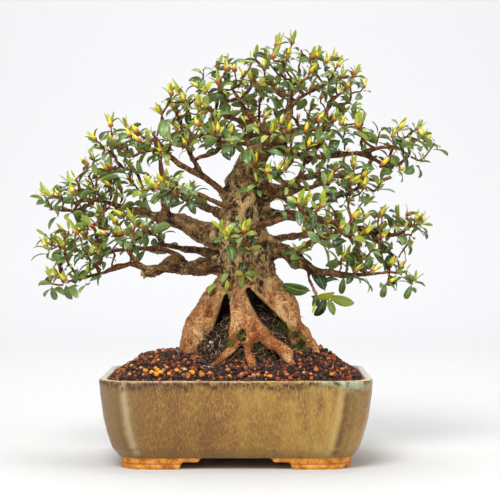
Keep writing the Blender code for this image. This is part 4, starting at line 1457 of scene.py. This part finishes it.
@dataclass
class Crown:
    """All twigs and leaves of the tree, grown through the frame's foliage masses."""

    wood: Wood
    bark: Material
    seed: int = 11
    spacing: float = 0.0145
    softness: float = 0.9
    threshold: float = 1.48
    twig_radius: float = 0.00086
    twig_growth: float = 0.40
    thickest_twig: float = 0.0023
    bud_share: float = 0.7
    lowest_bud: float = -0.4
    twig_step: float = 0.0042
    anchor_spacing: float = 0.005
    slim_wood: float = 0.017
    bridges: tuple = (
        ("middle_left", "heart_high", 0.020), ("far_left", "upper_left_edge", 0.016),
        ("middle_right", "upper_right_edge", 0.015), ("lower_left_inner", "lower_left_hem", 0.017),
        ("heart_front", "upper_right", 0.016), ("lower_right_tip", "front_centre", 0.014))
    nodes: list[str] = field(default_factory=list)
    homes: Array | None = None
    centres: Array | None = None
    reaches: Array | None = None

    def __post_init__(self) -> None:
        """Read where the masses are from the frame."""
        self.nodes = nodes_named("foliage_")
        boxes = [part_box(node) for node in self.nodes]
        low = np.array([tuple(box[0]) for box in boxes])
        high = np.array([tuple(box[1]) for box in boxes])
        centres = list((low + high) / 2)
        reaches = list((high - low) / 2)
        homes = list(range(len(self.nodes)))
        for first, second, reach in self.bridges:
            ends = [self.nodes.index("foliage_" + name) for name in (first, second)]
            centres.append((centres[ends[0]] + centres[ends[1]]) / 2)
            reaches.append(np.array([reach, reach * 1.4, reach * 0.9]))
            homes.append(ends[0])
        self.centres = np.array(centres)
        self.reaches = np.array(reaches)
        self.homes = np.array(homes)

    def distances(self, points: Array) -> Array:
        """Measure how far points are from each mass's centre, as a share of its reach.

        Args:
            points: The points, one a row.

        Returns:
            One row a point and one column a mass.
        """
        return np.linalg.norm((points[:, None] - self.centres) / self.reaches, axis=2)

    def choose_tips(self, rng: Generator) -> Array:
        """Choose where the shoots end, evenly spaced through the masses and between them.

        Args:
            rng: The random choices.

        Returns:
            The tips, one a row.
        """
        low = (self.centres - self.reaches).min(axis=0)
        high = (self.centres + self.reaches).max(axis=0)
        tries = rng.uniform(low, high, (60000, 3))
        away = self.distances(tries)
        filled = np.exp(-self.softness * (away ** 2 - 1)).sum(axis=1)
        nearest = away.argmin(axis=1)
        height = (tries[:, 2] - self.centres[nearest, 2]) / self.reaches[nearest, 2]
        keep = (filled > self.threshold) & (away.min(axis=1) < 1.4)
        keep &= (height > -0.10) | (rng.random(len(tries)) < 0.22)
        tries = tries[keep]
        free = [self.wood.tree.find_nearest(Vector(tip), 0.006)[0] is None for tip in tries]
        tries = tries[free]
        return tries[spread_out(tries * np.array([1.0, 0.85, 1.0]), self.spacing)]

    def anchors(self, rng: Generator) -> Array:
        """Find places on slim wood that twigs can grow from.

        Args:
            rng: The random choices.

        Returns:
            Places on the bark, about 5 mm apart.
        """
        slim = self.wood.points[self.wood.girths < self.slim_wood]
        slim = slim[self.distances(slim).min(axis=1) < 1.5]
        slim = slim[rng.permutation(len(slim))]
        cells = {tuple(np.floor(place / self.anchor_spacing).astype(int)): place for place in slim}
        return np.array(list(cells.values()))

    def twig_path(self, start: Array, tip: Array, axis: Array,
                  rng: Generator) -> Array:
        """Lay out one twig, which leaves sideways and turns up to its tip.

        Args:
            start: Where it forks off.
            tip: Where it ends.
            axis: The way it points there.
            rng: The random choices.

        Returns:
            Its points, one a row.
        """
        length = float(np.linalg.norm(tip - start))
        leave = unit(tip - start + rng.normal(0, 0.004, 3)) * length
        leave[2] *= 0.5
        path = curve_between(start, leave, tip, axis * length * 0.95, max(4, int(length / self.twig_step)))
        bend = rng.normal(0, 0.0007, path.shape)
        bend[0] = 0
        bend[-1] = 0
        return path + bend

    def build(self) -> None:
        """Grow every twig and rosette, gathered into pieces by mass."""
        rng = np.random.default_rng(self.seed + 1)
        rosette = Rosette.make(self.seed)
        leaf = LeafFinish().material()
        tips = self.choose_tips(rng)
        anchors = self.anchors(rng)
        LOG.info("%d shoot tips, %d anchors", len(tips), len(anchors))
        skeleton = Skeleton.on(anchors)
        order = np.argsort([np.linalg.norm(anchors - tip, axis=1).min() for tip in tips])
        owners = self.distances(tips).argmin(axis=1)
        trunk = self.wood.points[:, :2].mean(axis=0)
        shoots = []
        for index in order:
            tip = tips[index]
            height = (tip[2] - self.centres[owners[index], 2]) / self.reaches[owners[index], 2]
            owner = self.homes[owners[index]]
            outward = np.append(tip[:2] - trunk, 0.0)
            outward = unit(outward) * min(1.0, float(np.linalg.norm(outward)) / 0.09)
            rise = 0.95 if height > -0.2 else 0.45
            axis = unit(np.array([0, 0, rise]) + 0.6 * outward + rng.normal(0, 0.24, 3))
            if "hanging" in self.nodes[owner]:
                axis = unit(np.array([0.1, -0.75, -0.5]) + rng.normal(0, 0.1, 3))
            start = skeleton.best_start(tip)
            path = self.twig_path(skeleton.places[start], tip, axis, rng)
            shoots.append((owner, skeleton.extend(start, path), path, axis, height))
        twigs = [Batch() for _ in self.nodes]
        leaves = [Batch() for _ in self.nodes]
        for owner, chain, path, axis, height in shoots:
            loads = np.maximum(np.array([skeleton.loads[index] for index in chain]), 1.0)
            radii = self.twig_radius * loads ** self.twig_growth
            radii[0] = radii[1]
            knobs = 1 + 0.18 * rng.normal(0, 1, len(radii)).clip(-1, 1.6)
            radii = np.minimum(radii, self.thickest_twig) * knobs
            points, faces = tube_shape(path, radii, 6)
            widths = np.concatenate([np.repeat(radii, 6), radii[:1], radii[-1:]]) * 2
            twigs[owner].add(points, faces, girth=widths, hollow=0.0)
            size = float(rng.uniform(0.78, 1.08))
            if "hanging" in self.nodes[owner]:
                rosette.add(leaves[owner], path[-1], axis, 1.45, 0.25, False)
                continue
            fresh = float(rng.uniform(0.0, 0.5))
            with_bud = bool(rng.random() < self.bud_share) and height > self.lowest_bud
            rosette.add(leaves[owner], path[-1], axis, size, fresh, with_bud)
            if height < -0.1 and ("hem" in self.nodes[owner] or rng.random() < 0.08):
                forward = unit(np.array([rng.normal(0, 0.4), rng.normal(0, 0.3), -1.0]))
                rosette.add_leaf(leaves[owner], path[-1] - axis * 0.004, forward, np.array([0, -1, 0.2]),
                                 0.0185, 0.35, 0.7)
        for node, twig, leafage in zip(self.nodes, twigs, leaves):
            if not leafage.count:
                LOG.info("%s holds no shoots", node)
                continue
            place = node.removeprefix("foliage_")
            dress(leafage.build("leaves_" + place), leaf, "leaves", node)
            dress(twig.build("twigs_" + place), self.bark, "limb_bark", node)
        self.build_sprouts(rosette, leaf)

    def build_sprouts(self, rosette: Rosette, leaf: Material) -> None:
        """Add the young shoots low on the front of the trunk.

        Args:
            rosette: The rosette maker.
            leaf: The leaves' finish.
        """
        batch = Batch()
        for x, height, lean in ((-0.018, 0.172, -0.5), (-0.010, 0.164, 0.0), (0.007, 0.181, 0.4)):
            hit = self.wood.tree.ray_cast(Vector((x, -0.2, height)), Vector((0, 1, 0)))
            if hit[0] is None:
                continue
            tip = np.array(hit[0]) + np.array([lean * 0.004, -0.009, 0.002])
            rosette.add(batch, tip, np.array([lean, -0.8, 0.05]), 0.8, 0.62, False)
        dress(batch.build("trunk_sprouts"), leaf, "leaves")


# ---------------------------------------------------------------- the soil


class Grain(Enum):
    """The kinds of grains on the soil: share, size in metres and three tones."""

    DARK = (0.52, 0.0049, srgb(30, 20, 17), srgb(60, 40, 33), srgb(104, 78, 66))
    BROWN = (0.27, 0.0050, srgb(64, 33, 22), srgb(112, 62, 42), srgb(152, 100, 74))
    RUST = (0.16, 0.0048, srgb(122, 52, 24), srgb(176, 84, 40), srgb(220, 126, 68))
    TAN = (0.035, 0.0044, srgb(150, 88, 52), srgb(198, 130, 84), srgb(232, 176, 128))
    AMBER = (0.008, 0.0050, srgb(190, 104, 26), srgb(230, 150, 46), srgb(248, 196, 96))

    @property
    def share(self) -> float:
        """How much of the soil is of this kind."""
        return self.value[0]

    @property
    def size(self) -> float:
        """The width of a grain."""
        return self.value[1]

    @property
    def tones(self) -> tuple:
        """Its dark, middle and light colour."""
        return self.value[2:]


@dataclass
class Soil:
    """The mound of granules and the old fibrous root ball."""

    effects: Effects
    wood: Wood
    rim: float
    rng: Generator = field(init=False)
    seed: int = 5
    spacing: float = 0.0029
    crumb: float = 0.0032
    blades: int = 90
    heaps: tuple = ((0.030, 0.012, 0.022, 0.026), (0.056, 0.006, 0.014, 0.016),
                    (-0.024, -0.004, 0.020, 0.010), (0.067, -0.002, 0.009, 0.012))
    mounds: tuple = ((0.072, 0.000, 0.026, 0.0095), (0.098, -0.006, 0.026, 0.003),
                     (-0.082, 0.010, 0.026, 0.005))
    moss: tuple = ((0.058, 0.124), (0.064, 0.117), (0.067, 0.110), (0.060, 0.112), (-0.006, 0.117),
                   (0.004, 0.124), (0.044, 0.132), (0.022, 0.112), (0.052, 0.127))
    chips: tuple = ((-0.024, 0.1165, 0.0058), (-0.027, 0.1130, 0.0030), (-0.0485, 0.0935, 0.0052),
                    (0.006, 0.0895, 0.0040), (0.013, 0.0880, 0.0034), (0.066, 0.0930, 0.0030))
    pellets: tuple = (
        (-0.0752, -0.0765, 0.0066), (-0.0712, -0.0735, 0.0060), (-0.0790, -0.0735, 0.0062),
        (-0.0855, -0.0700, 0.0056), (-0.0742, -0.0690, 0.0056), (-0.0629, -0.0755, 0.0054),
        (-0.0413, -0.0735, 0.0070), (-0.0319, -0.0765, 0.0072), (-0.0560, -0.0700, 0.0048),
        (-0.0660, -0.0650, 0.0046), (-0.0490, -0.0770, 0.0048), (0.0321, -0.0790, 0.0062),
        (0.0280, -0.0775, 0.0044), (0.0904, -0.0760, 0.0050), (0.1010, -0.0600, 0.0044),
        (-0.1000, -0.0480, 0.0046), (0.0640, -0.0740, 0.0042), (-0.0060, -0.0780, 0.0042))
    peach: tuple = ((0.0060, -0.0765, 0.0062), (0.0165, -0.0785, 0.0060), (0.0205, -0.0765, 0.0056),
                    (-0.0240, -0.0745, 0.0058), (0.0760, -0.0690, 0.0052), (-0.0900, -0.0620, 0.0050),
                    (-0.0680, -0.0700, 0.0050), (0.0480, -0.0765, 0.0050))

    def __post_init__(self) -> None:
        """Start the random choices."""
        self.rng = np.random.default_rng(self.seed)

    def finish(self, name: str, tones: tuple, **looks: float) -> Material:
        """Make a finish of three tones."""
        return MottledFinish(self.effects, name, tones, **looks).material()

    def grain_shapes(self) -> list[tuple[Array, Array]]:
        """Make the chunky shapes that grains are copied from.

        Returns:
            Vertices and faces of each shape, about 1 wide.
        """
        rng = self.rng
        shapes = []
        for kind in range(12):
            made = bmesh.new()
            bmesh.ops.create_icosphere(made, subdivisions=2, radius=0.5)
            cuts = [(Vector(unit(rng.normal(0, 1, 3))), rng.uniform(0.26, 0.42)) for _ in range(8)]
            for vert in made.verts:
                cut = vert.co.copy()
                for normal, depth in cuts:
                    over = cut.dot(normal) - depth
                    if over > 0:
                        cut -= normal * over * 0.9
                vert.co = cut * (1 + 0.12 * noise.noise(cut * 3 + Vector((kind, 0, 0))))
            points = np.array([tuple(vert.co) for vert in made.verts])
            faces = np.array([[vert.index for vert in face.verts] for face in made.faces])
            made.free()
            shapes.append((points * np.array([1.0, rng.uniform(0.75, 1.0), rng.uniform(0.65, 0.9)]), faces))
        return shapes

    def turned_grain(self, shapes: list) -> tuple[Array, Array, Array]:
        """Choose one of the grain shapes and a way round for it.

        Args:
            shapes: The grain shapes.

        Returns:
            Its vertices, its faces and the axes that it turns to.
        """
        points, faces = shapes[self.rng.integers(len(shapes))]
        axes = frame_of(self.rng.normal(0, 1, 3), self.rng.normal(0, 1, 3))
        return points, faces, axes

    def surface_points(self, node: str, wanted: int, lowest: float,
                       spacing: float) -> tuple[Array, Array]:
        """Choose even random places on the upper side of a node.

        Args:
            node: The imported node.
            wanted: How many places to try.
            lowest: The lowest height that counts.
            spacing: The least distance between two places.

        Returns:
            The places and the surface's normals there.
        """
        points, triangles = node_arrays(node)
        a, b, c = points[triangles[:, 0]], points[triangles[:, 1]], points[triangles[:, 2]]
        normal = np.cross(b - a, c - a)
        area = np.linalg.norm(normal, axis=1) / 2
        normal = unit(normal)
        usable = (normal[:, 2] > 0.25) & ((a[:, 2] + b[:, 2] + c[:, 2]) / 3 > lowest)
        weights = np.where(usable, area, 0)
        picks = self.rng.choice(len(area), wanted, p=weights / weights.sum())
        u, v = self.rng.random(wanted), self.rng.random(wanted)
        flip = u + v > 1
        u[flip], v[flip] = 1 - u[flip], 1 - v[flip]
        places = a[picks] + u[:, None] * (b - a)[picks] + v[:, None] * (c - a)[picks]
        kept = spread_out(places, spacing)
        return self.raised(places[kept], node), normal[picks][kept]

    def raised(self, points: Array, node: str) -> Array:
        """Raise points by the heaps of soil round the roots.

        Args:
            points: The points, one a row.
            node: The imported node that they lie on.

        Returns:
            The raised points.
        """
        upper = np.clip((points[:, 2] - self.rim) / 0.012, 0, 1)
        lifted = points.copy()
        for x, y, wide, high in self.mounds if node == "grit_soil" else self.heaps:
            away = ((points[:, 0] - x) ** 2 + (points[:, 1] - y) ** 2) / wide ** 2
            lifted[:, 2] += high * np.exp(-away) * upper
        return lifted

    def build(self) -> None:
        """Make the soil's pieces."""
        bed = node_skin("soil_bed", "grit_soil", 0.0025, 1)
        move_vertices(bed, self.raised(mesh_arrays(bed)[0], "grit_soil"))
        tones = (srgb(18, 12, 10), srgb(44, 29, 23), srgb(80, 48, 34))
        finish = self.finish("soil_bed", tones, patch=260.0, speck=900.0, depth=0.0012)
        dress(bed, finish, "grit", "grit_soil")
        self.build_grains()
        self.build_root_ball()
        self.build_fibres()
        self.build_moss()

    def build_grains(self) -> None:
        """Scatter the loose grains over the bed."""
        rng = self.rng
        shapes = self.grain_shapes()
        places, normals = self.surface_points("grit_soil", 26000, self.rim - 0.012, self.spacing)
        wire = node_arrays("anchor_wire")[0]
        clear = np.array([np.linalg.norm(wire - place, axis=1).min() > 0.0032 for place in places])
        places, normals = places[clear], normals[clear]
        shares = np.array([kind.share for kind in Grain])
        picks = rng.choice(len(shares), len(places), p=shares / shares.sum())
        pellets = {Grain.AMBER: self.pellets, Grain.TAN: self.peach}
        for number, kind in enumerate(Grain):
            batch = Batch()
            for index in np.where(picks == number)[0]:
                points, faces, axes = self.turned_grain(shapes)
                size = kind.size * rng.uniform(0.55, 1.3)
                lift = rng.uniform(-0.0012, 0.0016)
                batch.add((points * size) @ axes + places[index] + normals[index] * lift, faces)
            self.add_pellets(batch, shapes, pellets.get(kind, ()))
            name = kind.name.lower()
            finish = self.finish("grain_" + name, kind.tones, patch=210.0, speck=1400.0, depth=0.0004,
                                 specular=0.35)
            dress(batch.build("grains_" + name), finish, "grit", "grit_soil")

    def add_pellets(self, batch: Batch, shapes: list, spots: tuple) -> None:
        """Lay the round feed pellets on the soil near the front rim.

        Args:
            batch: The mesh that they go into.
            shapes: The grain shapes.
            spots: Where each lies, and its width.
        """
        ground = node_tree("grit_soil")
        for x, y, width in spots:
            hit = ground.ray_cast(Vector((x, y, self.rim + 0.2)), Vector((0, 0, -1)))[0]
            if hit is not None:
                shape, faces = shapes[self.rng.integers(len(shapes))]
                rounded = 0.8 * shape + 0.2 * unit(shape) * 0.5
                batch.add(rounded * width + np.array(hit) + np.array([0, 0, 0.0022]), faces)

    def build_root_ball(self) -> None:
        """Make the crumbly old soil under the roots."""
        ball = node_skin("root_ball_soil", "root_ball", 0.0016, 1)
        points, normals = mesh_arrays(ball)
        push = 0.0024 * smooth_noise(points, (190, 190, 190), 2.0)
        push += 0.0014 * smooth_noise(points, (420, 420, 420), 5.0)
        move_vertices(ball, self.raised(points + normals * (push - 0.0004)[:, None], "root_ball"))
        tones = (srgb(14, 10, 8), srgb(38, 27, 20), srgb(86, 66, 50))
        finish = self.finish("fibrous_soil", tones, patch=300.0, speck=1300.0, depth=0.0010)
        dress(ball, finish, "old_soil", "root_ball")
        shapes = self.grain_shapes()
        crumbs = Batch()
        for place in self.surface_points("root_ball", 6000, self.rim - 0.004, 0.0026)[0]:
            points, faces, axes = self.turned_grain(shapes)
            crumbs.add((points * self.crumb * self.rng.uniform(0.5, 1.1)) @ axes + place, faces)
        dress(crumbs.build("soil_crumbs"), finish, "old_soil", "root_ball")

    def build_fibres(self) -> None:
        """Lay fine rootlets over the root ball and the soil in front of it."""
        rng = self.rng
        batch = Batch()
        for node, count in (("root_ball", 620), ("grit_soil", 110)):
            places, normals = self.surface_points(node, count * 3, self.rim - 0.004, 0.002)
            for place, normal in list(zip(places, normals))[:count]:
                away = np.linalg.norm(place[:2] - np.array([0.01, -0.03]))
                if node == "grit_soil" and (away > 0.07 or place[1] < -0.066):
                    continue
                if node == "root_ball" and place[0] > 0.055 and place[2] > self.rim + 0.022:
                    continue
                heading = unit(np.cross(normal, rng.normal(0, 1, 3)) + np.array([0, 0, -0.5]))
                spot = place + normal * 0.0012
                path = [spot]
                for _ in range(int(rng.integers(4, 10))):
                    heading = unit(heading + rng.normal(0, 0.38, 3) - normal * np.dot(heading, normal) * 0.8)
                    spot = spot + heading * 0.0024
                    path.append(spot + normal * rng.normal(0, 0.0005))
                radius = rng.uniform(0.00018, 0.00042)
                batch.add(*tube_shape(np.array(path), np.full(len(path), radius), 4))
        tones = (srgb(74, 50, 34), srgb(132, 100, 66), srgb(204, 178, 140))
        finish = self.finish("rootlet", tones, patch=120.0, depth=0.0001)
        dress(batch.build("fine_rootlets"), finish, "old_soil", "root_ball")

    def front(self, trees: list[BVHTree], x: float, z: float) -> Array | None:
        """Find the nearest surface seen from the front.

        Args:
            trees: The surfaces.
            x: The place across.
            z: The height.

        Returns:
            The place on it, or None where there is none.
        """
        hits = [tree.ray_cast(Vector((x, -0.3, z)), Vector((0, 1, 0)))[0] for tree in trees]
        found = [np.array(hit) for hit in hits if hit is not None]
        return min(found, key=lambda hit: hit[1]) if found else None

    def build_moss(self) -> None:
        """Set tufts of moss and pale chips on whatever lies in front at their places."""
        rng = self.rng
        trees = [self.wood.tree]
        for node in ("root_ball", "grit_soil"):
            trees.append(node_tree(node, self.raised(node_arrays(node)[0], node)))
        tufts = Batch()
        for x, z in self.moss:
            for _ in range(self.blades):
                base = self.front(trees, x + rng.normal(0, 0.0030), z + rng.normal(0, 0.0026))
                if base is None:
                    continue
                lean = unit(np.array([0.0, -0.7, 0.7]) + rng.normal(0, (0.5, 0.3, 0.4)))
                path = base + lean * np.array([[-0.0004], [0.0010], [0.0021]]) * rng.uniform(0.7, 1.5)
                tufts.add(*tube_shape(path, np.array([0.00034, 0.00026, 0.00008]), 3))
        tones = (srgb(38, 44, 12), srgb(86, 92, 26), srgb(142, 146, 58))
        green = self.finish("moss", tones, patch=160.0, depth=0.0001)
        dress(tufts.build("moss_tufts"), green, "old_soil", "root_ball")
        chips = Batch()
        shapes = self.grain_shapes()
        for x, z, width in self.chips:
            base = self.front(trees, x, z)
            if base is not None:
                shape, faces = shapes[rng.integers(len(shapes))]
                chips.add(shape * width + base, faces)
        tones = (srgb(186, 160, 130), srgb(222, 204, 180), srgb(244, 236, 222))
        pale = self.finish("pale_chip", tones, patch=300.0)
        dress(chips.build("pale_chips"), pale, "grit", "grit_soil")


# ---------------------------------------------------------------- stage, light and camera


@dataclass
class Stage:
    """A pale floor that runs up into a pale wall, soft light and the camera."""

    camera_distance: float = 1.6
    camera_side: float = 0.0133
    camera_height: float = 0.2288
    focal_length: float = 116.7
    downward: float = math.radians(0.7246)
    half_width: float = 9.0
    sweep_start: float = 1.6
    sweep_radius: float = 1.2
    wall_height: float = 5.0
    sky_strength: float = 0.39
    # The floor is painted darker near the camera than the wall: painted shade that tempers the lamps' light
    # on the near floor.
    shaded_near_tone: tuple = srgb(214, 214, 213)
    far_tone: tuple = srgb(253, 253, 255)
    lights: tuple = (
        ("key_light", (-0.45, -1.5, 1.8), 0.9, 42.0, (0.0, 0.0, 0.2)),
        ("fill_light", (1.7, -1.2, 1.0), 1.0, 14.0, (0.0, 0.0, 0.2)),
        ("top_light", (0.1, 0.3, 2.2), 1.2, 18.0, (0.0, 0.0, 0.2)),
        ("side_light", (-1.5, -0.9, 0.35), 0.5, 5.0, (0.0, 0.0, 0.2)),
        ("wall_light", (0.0, 0.9, 3.0), 1.6, 11.0, (0.0, 2.8, 0.9)))

    def floor(self) -> None:
        """Make the floor and the wall behind it in one sweep."""
        line = [(-self.half_width, 0.0), (self.sweep_start, 0.0)]
        for step in range(1, 13):
            angle = math.radians(step * 7.5)
            line.append((self.sweep_start + self.sweep_radius * math.sin(angle),
                         self.sweep_radius * (1 - math.cos(angle))))
        line.append((self.sweep_start + self.sweep_radius, self.wall_height))
        points = [(side, *place) for place in line for side in (-self.half_width, self.half_width)]
        faces = [(2 * i, 2 * i + 1, 2 * i + 3, 2 * i + 2) for i in range(len(line) - 1)]
        sweep = mesh_object("sweep", np.array(points), faces)
        made, graph, shader = new_material("pale_paper")
        place = graph.place()
        # Painted shade: the floor darkens towards the camera and runs up to the near-white wall.
        grain = graph.times(graph.minus(graph.noise(place, 60.0), 0.5), 0.15)
        away = graph.plus(graph.ramp(graph.axes(place)[1], -0.4, 2.4), grain, clamp=True)
        tone = graph.blend(away, self.shaded_near_tone, self.far_tone)
        graph.feed(shader, Base_Color=tone, Roughness=0.9, Specular_IOR_Level=0.1)
        sweep.data.materials.append(made)
        sweep.data.shade_smooth()

    def light(self, name: str, place: tuple, size: float, power: float, target: tuple) -> None:
        """Add one soft light.

        Args:
            name: The light's name.
            place: Where it is.
            size: Its side.
            power: Its power in watts.
            target: What it looks at.
        """
        lamp = bpy.data.lights.new(name, "AREA")
        lamp.shape = "SQUARE"
        lamp.size = size
        lamp.energy = power
        item = bpy.data.objects.new(name, lamp)
        item.location = place
        item.rotation_euler = (Vector(target) - Vector(place)).to_track_quat("-Z", "Y").to_euler()
        bpy.context.scene.collection.objects.link(item)

    def build(self) -> None:
        """Make the stage, its lights and the camera."""
        self.floor()
        for settings in self.lights:
            self.light(*settings)
        scene = bpy.context.scene
        world = bpy.data.worlds.new("soft_surroundings")
        world.use_nodes = True
        sky = world.node_tree.nodes["Background"]
        sky.inputs["Color"].default_value = (1.0, 1.0, 1.0, 1.0)
        sky.inputs["Strength"].default_value = self.sky_strength
        scene.world = world
        lens = bpy.data.cameras.new("camera")
        lens.sensor_width = 36.0
        lens.lens = self.focal_length
        item = bpy.data.objects.new("camera", lens)
        item.location = (self.camera_side, -self.camera_distance, self.camera_height)
        item.rotation_euler = (math.radians(90) - self.downward, 0.0, 0.0)
        scene.collection.objects.link(item)
        scene.camera = item
        scene.view_settings.view_transform = "Standard"


def main() -> None:
    """Build every sub-assembly in order."""
    logging.basicConfig(level=logging.INFO, format="%(message)s")
    effects = Effects.make()
    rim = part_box("pot")[1][2]
    Stage().build()
    Pot(effects).build()
    PotFittings(effects).build()
    wood = Wood(effects, rim)
    bark = wood.build().data.materials[0]
    Soil(effects, wood, rim).build()
    Crown(wood, bark).build()


if __name__ == "__main__":
    main()
